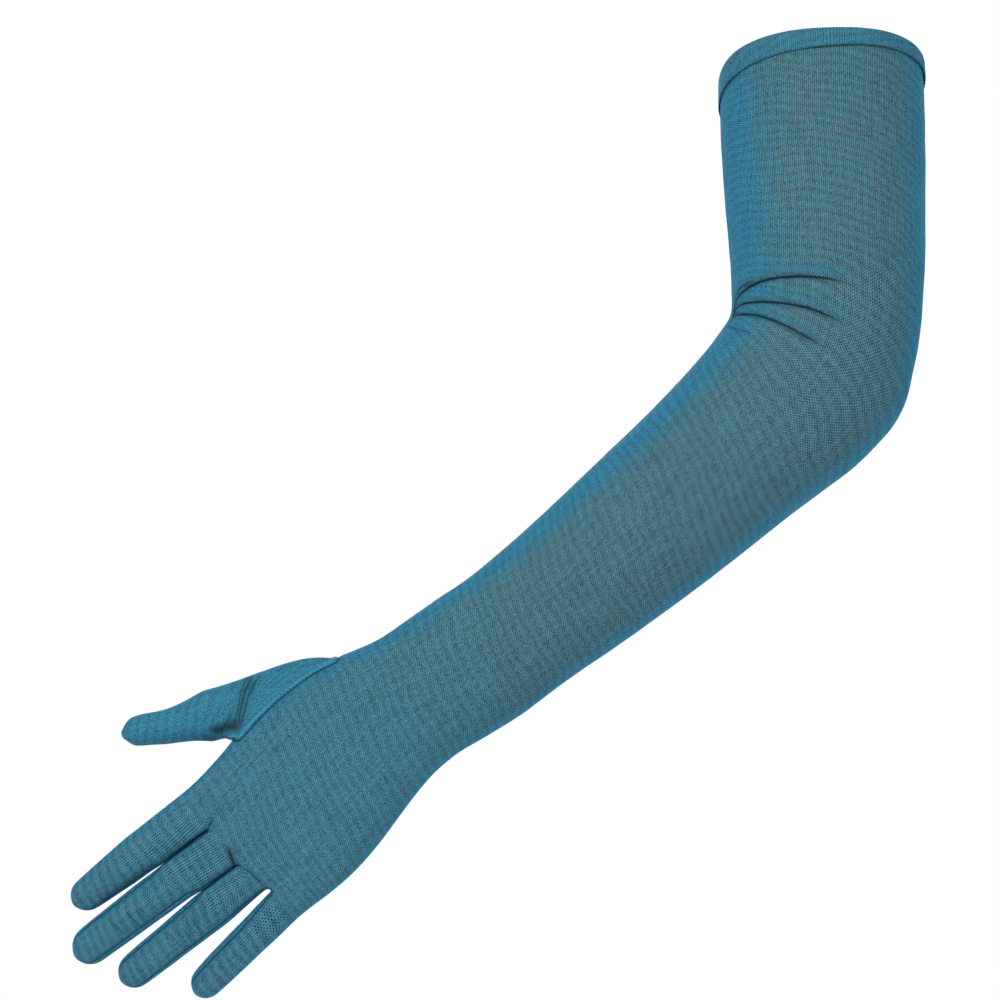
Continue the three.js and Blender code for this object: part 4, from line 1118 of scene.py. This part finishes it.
def tulle(name, tone, edge, tones, sizes, openness, doubled, welt=0.0):
    """Fine warp-knit tulle: ribs along the sleeve, rows across it, and small holes between."""
    sh = Shader(name)
    uv = sh.node("ShaderNodeUVMap", {"uv_map": "knit"}, {})
    place = sh.node("ShaderNodeTexCoord", {}, {}, "Object")
    mark = {key: sh.node("ShaderNodeAttribute", {"attribute_name": key}, {}, "Fac") for key in MARKS}
    ribs = MM / sizes.wale
    across, along = sh.part(uv, 0), sh.part(uv, 1)
    u = across * ribs + sh.noise(place, 17.0, 2.0) * 4.5
    v = along * (ribs * math.sqrt(0.75)) + sh.noise(sh.shifted(place, 3.0), 15.0, 2.0) * 3.5
    rib = (u * TURN).cos()
    left = (u * math.pi + v * TURN).cos()
    right = (u * math.pi - v * TURN).cos()
    knit = rib * 0.44 + left * 0.28 + right * 0.28
    streak = sh.noise(sh.vector(across * 0.62, along * 0.05, 0.0), 1.0, 2.0)
    ripple = (v * 1.45 + u * 0.30 + sh.noise(place, 24.0, 2.0) * 16.0).sin()
    speck = sh.noise(place, 1150.0, 2.0)
    fuzz = sh.noise(sh.shifted(place, 7.0), 2500.0, 1.0)
    broad = sh.noise(place, 13.0, 3.0)
    turned_in = 1.0 - mark["seam_gap"].ramp(*TURNED_IN)
    stitched = 1.0 - mark["seam_gap"].ramp(*STITCH_LINE)
    gathered = mark["lift"].ramp(*GATHERED)
    # Painted shade on each crease line, painted shadow below it, and doubled cloth with a painted highlight
    # above it
    line, under, rolled = 0.0, 0.0, 0.0
    for group in range(LINE_GROUPS):
        gap, power = mark[f"crease_{group}"], mark[f"crease_power_{group}"]
        line = line + (1.0 - gap.size().ramp(*CREASE_LINE)) * power
        under = under + gap.between(*FOLD_SHADOW) * power
        rolled = rolled + gap.between(*ON_ROLL) * power
    soft = (turned_in * 0.6 + gathered * 0.5 + rolled * 0.7 + doubled).clamp()
    wavy = 0.09 + along.ramp(*TO_FINGERS) * 0.05
    relief = 0.53 - knit * KNIT_DEPTH + ripple * wavy
    for grain, strength in ((speck, SPECK_DEPTH), (fuzz, FUZZ_DEPTH), (streak, STREAK_DEPTH)):
        relief = relief + (grain - 0.5) * strength
    relief = 0.5 + (relief.clamp() - 0.5) * (1.0 - soft * 0.42)
    shade = (0.22 + relief * 1.56) * (1.06 - broad * 0.12)
    shade = shade * (1.0 - stitched * STITCH_DARK)
    # Painted shade along the creases and painted shadow under the folds
    shade = shade * (1.0 - (line * CREASE_SHADE).clamp()) * (1.0 - (under * FOLD_SHADOW_DARK).clamp())
    # Painted shade from the shade marks; a little brighter on doubled, gathered and rolled cloth, on rolls a
    # painted highlight
    shade = shade * (1.0 - mark["shade"]) * (1.0 + soft * 0.06)
    # Painted highlight on the thumb's welt, beside its seam
    if welt:
        shade = shade * (1.0 + mark["seam_gap"].between(*WELT_HIGHLIGHT) * welt)
    # Painted sheen and light: the edge tone at the sides and on cloth facing the key light, the plain tones
    # elsewhere
    lit = sh.mix(mark["painted_sheen_off"], edge, sh.mix(along.ramp(*TO_HAND), tone, tones.lower))
    # Fold tone on doubled, gathered and rolled cloth; on the roll above a crease it is partly a painted
    # highlight
    lit = sh.mix(soft * 0.8, lit, tones.fold)
    height = 1.0 - knit * 0.35 + speck * 0.5 + streak * 0.35
    bump = sh.node("ShaderNodeBump", {}, {"Strength": 0.5, "Distance": 0.00022, "Height": height})
    return sh.finish(**{
        "Base Color": sh.scaled(lit, shade),
        "Roughness": 0.62 + 0.18 * fuzz,
        "Alpha": 1.0 - (knit.ramp(0.1, 0.9) * (1.0 - soft * 0.6) * (1.0 - stitched)) * openness,
        "Normal": bump,
        "Sheen Weight": 0.6,
        "Sheen Roughness": 0.34,
        "Sheen Tint": (*rgb(tones.sheen), 1.0),
        "Specular IOR Level": 0.24,
    })


def thread_finish(name, tone):
    """Twisted sewing thread."""
    sh = Shader(name)
    place = sh.node("ShaderNodeTexCoord", {}, {}, "Object")
    twist = sh.node(
        "ShaderNodeTexWave", {"wave_type": "BANDS", "bands_direction": "DIAGONAL"},
        {"Vector": place, "Scale": 900.0, "Distortion": 0.6, "Detail": 1.0}, "Fac")
    base = sh.mix(twist, (tone[0] * 0.5, tone[1] * 0.5, tone[2] * 0.5), rgb(tone))
    bump = sh.node("ShaderNodeBump", {}, {"Strength": 0.4, "Distance": 0.0001, "Height": twist})
    rough = 0.7 + 0.1 * twist
    return sh.finish(**{"Base Color": base, "Roughness": rough, "Normal": bump, "Sheen Weight": 0.4})


MADE = {}


def fine_glove():
    if "fine" not in MADE:
        sizes = bpy.context.scene.glove_sizes
        MADE["pattern"] = GlovePattern(sizes)
        fine = refine(Skin(MADE["pattern"]), FINE_LEVELS)
        drape(fine)
        close_fingers(fine, MADE["pattern"])
        find_seams(fine)
        press_seams(fine, MADE["pattern"])
        MADE["fine"] = fine
    return MADE["fine"]


def place_piece(obj, name):
    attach(obj, "root")
    nodes = [f"{name}_{length}" for length in PANEL_LENGTHS] if name.endswith("panel") else [name]
    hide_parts(*nodes)


class GLOVE_OT_panels(bpy.types.Operator):
    """Build the back and palm panels of the sleeve, hand and fingers"""

    bl_idname = "glove.panels"
    bl_label = "Panels"

    def execute(self, context):
        fine, sizes, tones = fine_glove(), context.scene.glove_sizes, context.scene.glove_colours
        for index in (BACK, PALM):
            name = PIECES[index]
            obj = wall_mesh(fine, index, sizes.cloth / MM, f"{name}_cloth")
            obj.data.materials.append(tulle(
                f"{name}_tulle", tones.yarn, tones.edge, tones, sizes, 0.10, 0.0))
            place_piece(obj, name)
        return {"FINISHED"}


class GLOVE_OT_thumb(bpy.types.Operator):
    """Build the set-in thumb with its gusset"""

    bl_idname = "glove.thumb"
    bl_label = "Thumb"

    def execute(self, context):
        fine, sizes, tones = fine_glove(), context.scene.glove_sizes, context.scene.glove_colours
        obj = wall_mesh(fine, THUMB_PIECE, sizes.cloth / MM, "thumb_cloth")
        # The last value is the strength of the painted highlight on the thumb's welt
        obj.data.materials.append(tulle(
            "thumb_tulle", tones.thumb, tones.thumb, tones, sizes, 0.06, 0.25, 0.45))
        place_piece(obj, "thumb")
        return {"FINISHED"}


class GLOVE_OT_fourchettes(bpy.types.Operator):
    """Build the forked strips between the fingers"""

    bl_idname = "glove.fourchettes"
    bl_label = "Fourchettes"

    def execute(self, context):
        fine, sizes, tones = fine_glove(), context.scene.glove_sizes, context.scene.glove_colours
        # The fourchettes take the edge tone all over: the painted sheen of cloth turned away at the sides
        material = tulle("fourchette_tulle", tones.edge, tones.edge, tones, sizes, 0.06, 0.15)
        for index in range(FIRST_FORK, len(PIECES)):
            name = PIECES[index]
            obj = wall_mesh(fine, index, sizes.cloth / MM, f"{name}_cloth")
            obj.data.materials.append(material)
            place_piece(obj, name)
        return {"FINISHED"}


# Band: faces round it, knit round it in millimetres, ripples of its lower edge and their height,
# its own unevenness, the thickness of the outer leaf and the rows that shape it
BAND_SIDES, BAND_GIRTH = 228, 290.0
FRILLS, FRILL_HEIGHT, BAND_UNEVEN = 58, 0.10, 0.18
LEAF, LEAF_STEPS = 0.35, 12
# Stitches: how many, rows and faces round each, thread's radius and distance above the band's edge
STITCHES, STITCH_STEPS, THREAD_SIDES = 118, 5, 6
THREAD_RADIUS, STITCH_INSET = 0.13, 0.7


def band_profile(height):
    """The folded band's section: distance down the sleeve and distance out, in millimetres."""
    profile = []
    for t in np.linspace(1, 0.08, LEAF_STEPS):
        profile.append((t * height, 0.30 + LEAF - 0.22 * math.exp(-(((1 - t) / 0.09) ** 2))))
    for a in np.radians(np.linspace(80, -80, 7)):
        profile.append((0.25 - 0.75 * math.cos(a), -0.30 + 0.95 * math.sin(a)))
    for t in np.linspace(0.08, 1, 8):
        profile.append((t * height, -1.30))
    return profile + [(height, -1.05), (0.35 * height, -1.0), (0.30 * height, 0.15), (height, 0.25)]


class GLOVE_OT_band(bpy.types.Operator):
    """Build the folded band round the opening, with its row of stitches"""

    bl_idname = "glove.band"
    bl_label = "Band"

    def execute(self, context):
        fine_glove()
        pattern, sizes, tones = MADE["pattern"], context.scene.glove_sizes, context.scene.glove_colours
        height = sizes.band_height / MM
        profile = band_profile(height)
        points, faces, knit = [], [], []
        steps = [math.dist(a, b) for a, b in zip(profile, profile[1:] + profile[:1])]
        run = np.concatenate([[0], np.cumsum(steps)])
        for down, out in profile:
            for k in range(BAND_SIDES):
                turn = TURN * k / BAND_SIDES
                wave = FRILL_HEIGHT * math.sin(turn * FRILLS) * (down / height if down > 0 else 0)
                spot = Vector((math.cos(turn) * 2.2, math.sin(turn) * 2.2, 1))
                wave += BAND_UNEVEN * noise.noise(spot)
                offset = out + wave * (1 if out > 0 else 0.3)
                c = k * COLUMNS / BAND_SIDES
                points.append(pattern.sleeve_point(down / pattern.length, c, offset) * MM)
        n = len(profile)
        for i in range(n):
            here, ahead = i * BAND_SIDES, (i + 1) % n * BAND_SIDES
            for k in range(BAND_SIDES):
                m = (k + 1) % BAND_SIDES
                faces.append((here + k, ahead + k, ahead + m, here + m))
                u0, u1 = k / BAND_SIDES * BAND_GIRTH, (k + 1) / BAND_SIDES * BAND_GIRTH
                knit += [(u0, run[i]), (u0, run[i + 1]), (u1, run[i + 1]), (u1, run[i])]
        marks = {name: np.full((n, BAND_SIDES), value) for name, value in MARKS.items()}
        for i in range(LEAF_STEPS):
            marks["seam_gap"][i] = height - profile[i][0] + 0.12
        obj = smooth_object("hem_band_cloth", [tuple(q) for q in points], faces, knit, marks)
        obj.data.materials.append(tulle(
            "band_tulle", tones.band, tones.band, tones, sizes, 0.03, 0.4))
        place_piece(obj, "hem_band")
        self.stitch(pattern, height, tones)
        return {"FINISHED"}

    def stitch(self, pattern, height, tones):
        points, faces = [], []
        share = (height - STITCH_INSET) / pattern.length
        down = pattern.frame_at(height / pattern.length)[1]
        last = STITCH_STEPS - 1
        for k in range(STITCHES):
            start = len(points)
            for step in range(STITCH_STEPS):
                c = (k + 0.12 + 0.19 * step) * COLUMNS / STITCHES % COLUMNS
                here = pattern.sleeve_point(share, c, 0.52 + 0.14 * math.sin(math.pi * step / last))
                out = unit(pattern.sleeve_point(share, c, 2.0) - here)
                for side in range(THREAD_SIDES):
                    a = TURN * side / THREAD_SIDES
                    reach = (out * math.cos(a) + down * math.sin(a)) * THREAD_RADIUS
                    points.append(tuple((here + reach) * MM))
            for s in range(last):
                ring = start + s * THREAD_SIDES
                for a in range(THREAD_SIDES):
                    b = (a + 1) % THREAD_SIDES
                    faces.append((ring + a, ring + b, ring + THREAD_SIDES + b, ring + THREAD_SIDES + a))
            faces.append(tuple(start + a for a in reversed(range(THREAD_SIDES))))
            faces.append(tuple(start + last * THREAD_SIDES + a for a in range(THREAD_SIDES)))
        obj = smooth_object("hem_stitches", points, faces, None, {})
        obj.data.materials.append(thread_finish("hem_thread", tones.thread))
        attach(obj, "root")


# Lights: name, place, the place they face, size and watts
LIGHTS = (
    ("key", (-0.75, -1.55, 0.95), (-0.12, -0.05, -0.18), 1.1, 20.0),
    ("fill", (0.95, -1.30, 0.10), (-0.12, -0.05, -0.22), 1.3, 3.2),
    ("rim", (0.10, 1.25, 0.70), (-0.12, -0.05, -0.20), 1.2, 7.0),
)
# Sky that the camera sees, and sky that lights the glove: colour and strength
SEEN_SKY = ((1, 1, 1, 1), 1.0)
LIT_SKY = ((0.97, 0.98, 1.0, 1), 0.48)
FLOOR_SIZE, FLOOR_PLACE = 2.9, (-0.15, -0.25, -0.66)
SENSOR = 36.0


class GLOVE_OT_stage(bpy.types.Operator):
    """Set the pale floor, the soft studio light and the camera"""

    bl_idname = "glove.stage"
    bl_label = "Stage"

    def execute(self, context):
        scene, tones = context.scene, context.scene.glove_colours
        bpy.ops.mesh.primitive_plane_add(size=FLOOR_SIZE, location=FLOOR_PLACE)
        floor = context.object
        floor.name = "floor"
        sh = Shader("floor_paint")
        place = sh.node("ShaderNodeTexCoord", {}, {}, "Object")
        grain = sh.node(
            "ShaderNodeTexNoise", {"noise_dimensions": "3D"},
            {"Vector": place, "Scale": 60.0, "Detail": 4.0})
        tone = rgb(tones.floor)
        base = sh.mix(grain, tuple(0.97 * v for v in tone), tone)
        floor.data.materials.append(sh.finish(**{"Base Color": base, "Roughness": 0.9}))

        world = bpy.data.worlds.new("studio")
        scene.world = world
        world.use_nodes = True
        nodes, links = world.node_tree.nodes, world.node_tree.links
        nodes.clear()
        out = nodes.new("ShaderNodeOutputWorld")
        seen, lit = nodes.new("ShaderNodeBackground"), nodes.new("ShaderNodeBackground")
        for sky, (tone, strength) in ((seen, SEEN_SKY), (lit, LIT_SKY)):
            sky.inputs["Color"].default_value = tone
            sky.inputs["Strength"].default_value = strength
        ray, both = nodes.new("ShaderNodeLightPath"), nodes.new("ShaderNodeMixShader")
        links.new(ray.outputs["Is Camera Ray"], both.inputs[0])
        links.new(lit.outputs[0], both.inputs[1])
        links.new(seen.outputs[0], both.inputs[2])
        links.new(both.outputs[0], out.inputs["Surface"])

        for name, place, aim, size, watts in LIGHTS:
            light = bpy.data.lights.new(name, "AREA")
            light.size, light.energy = size, watts
            lamp = bpy.data.objects.new(name, light)
            lamp.location = place
            lamp.rotation_euler = (Vector(aim) - Vector(place)).to_track_quat("-Z", "Y").to_euler()
            scene.collection.objects.link(lamp)

        camera = bpy.data.cameras.new("camera")
        camera.sensor_fit = "HORIZONTAL"
        camera.sensor_width = SENSOR
        camera.lens = SENSOR * EYE_DISTANCE / (PICTURE * PIXEL)
        eye = bpy.data.objects.new("camera", camera)
        eye.location = [value * MM for value in EYE]
        eye.rotation_euler = (math.radians(90), 0, 0)
        scene.collection.objects.link(eye)
        scene.camera = eye
        scene.view_settings.view_transform = "Standard"
        scene.view_settings.look = "None"
        return {"FINISHED"}


class GLOVE_PT_sidebar(bpy.types.Panel):
    """Sizes, colours and building steps of the glove"""

    bl_label = "Long tulle glove"
    bl_idname = "GLOVE_PT_sidebar"
    bl_space_type = "VIEW_3D"
    bl_region_type = "UI"
    bl_category = "Glove"

    def draw(self, context):
        layout = self.layout
        for group in (context.scene.glove_sizes, context.scene.glove_colours):
            box = layout.box()
            for name in group.bl_rna.properties.keys():
                if name not in {"rna_type", "name"}:
                    box.prop(group, name)
        for step in STEPS:
            layout.operator(step.bl_idname)


STEPS = (GLOVE_OT_panels, GLOVE_OT_thumb, GLOVE_OT_fourchettes, GLOVE_OT_band, GLOVE_OT_stage)
CLASSES = (GloveSizes, GloveColours, *STEPS, GLOVE_PT_sidebar)


def register():
    for cls in CLASSES:
        bpy.utils.register_class(cls)
    bpy.types.Scene.glove_sizes = bpy.props.PointerProperty(type=GloveSizes)
    bpy.types.Scene.glove_colours = bpy.props.PointerProperty(type=GloveColours)


def unregister():
    del bpy.types.Scene.glove_colours
    del bpy.types.Scene.glove_sizes
    for cls in reversed(CLASSES):
        bpy.utils.unregister_class(cls)


def main():
    register()
    bpy.ops.glove.panels()
    bpy.ops.glove.thumb()
    bpy.ops.glove.fourchettes()
    bpy.ops.glove.band()
    bpy.ops.glove.stage()


if __name__ == "__main__":
    main()
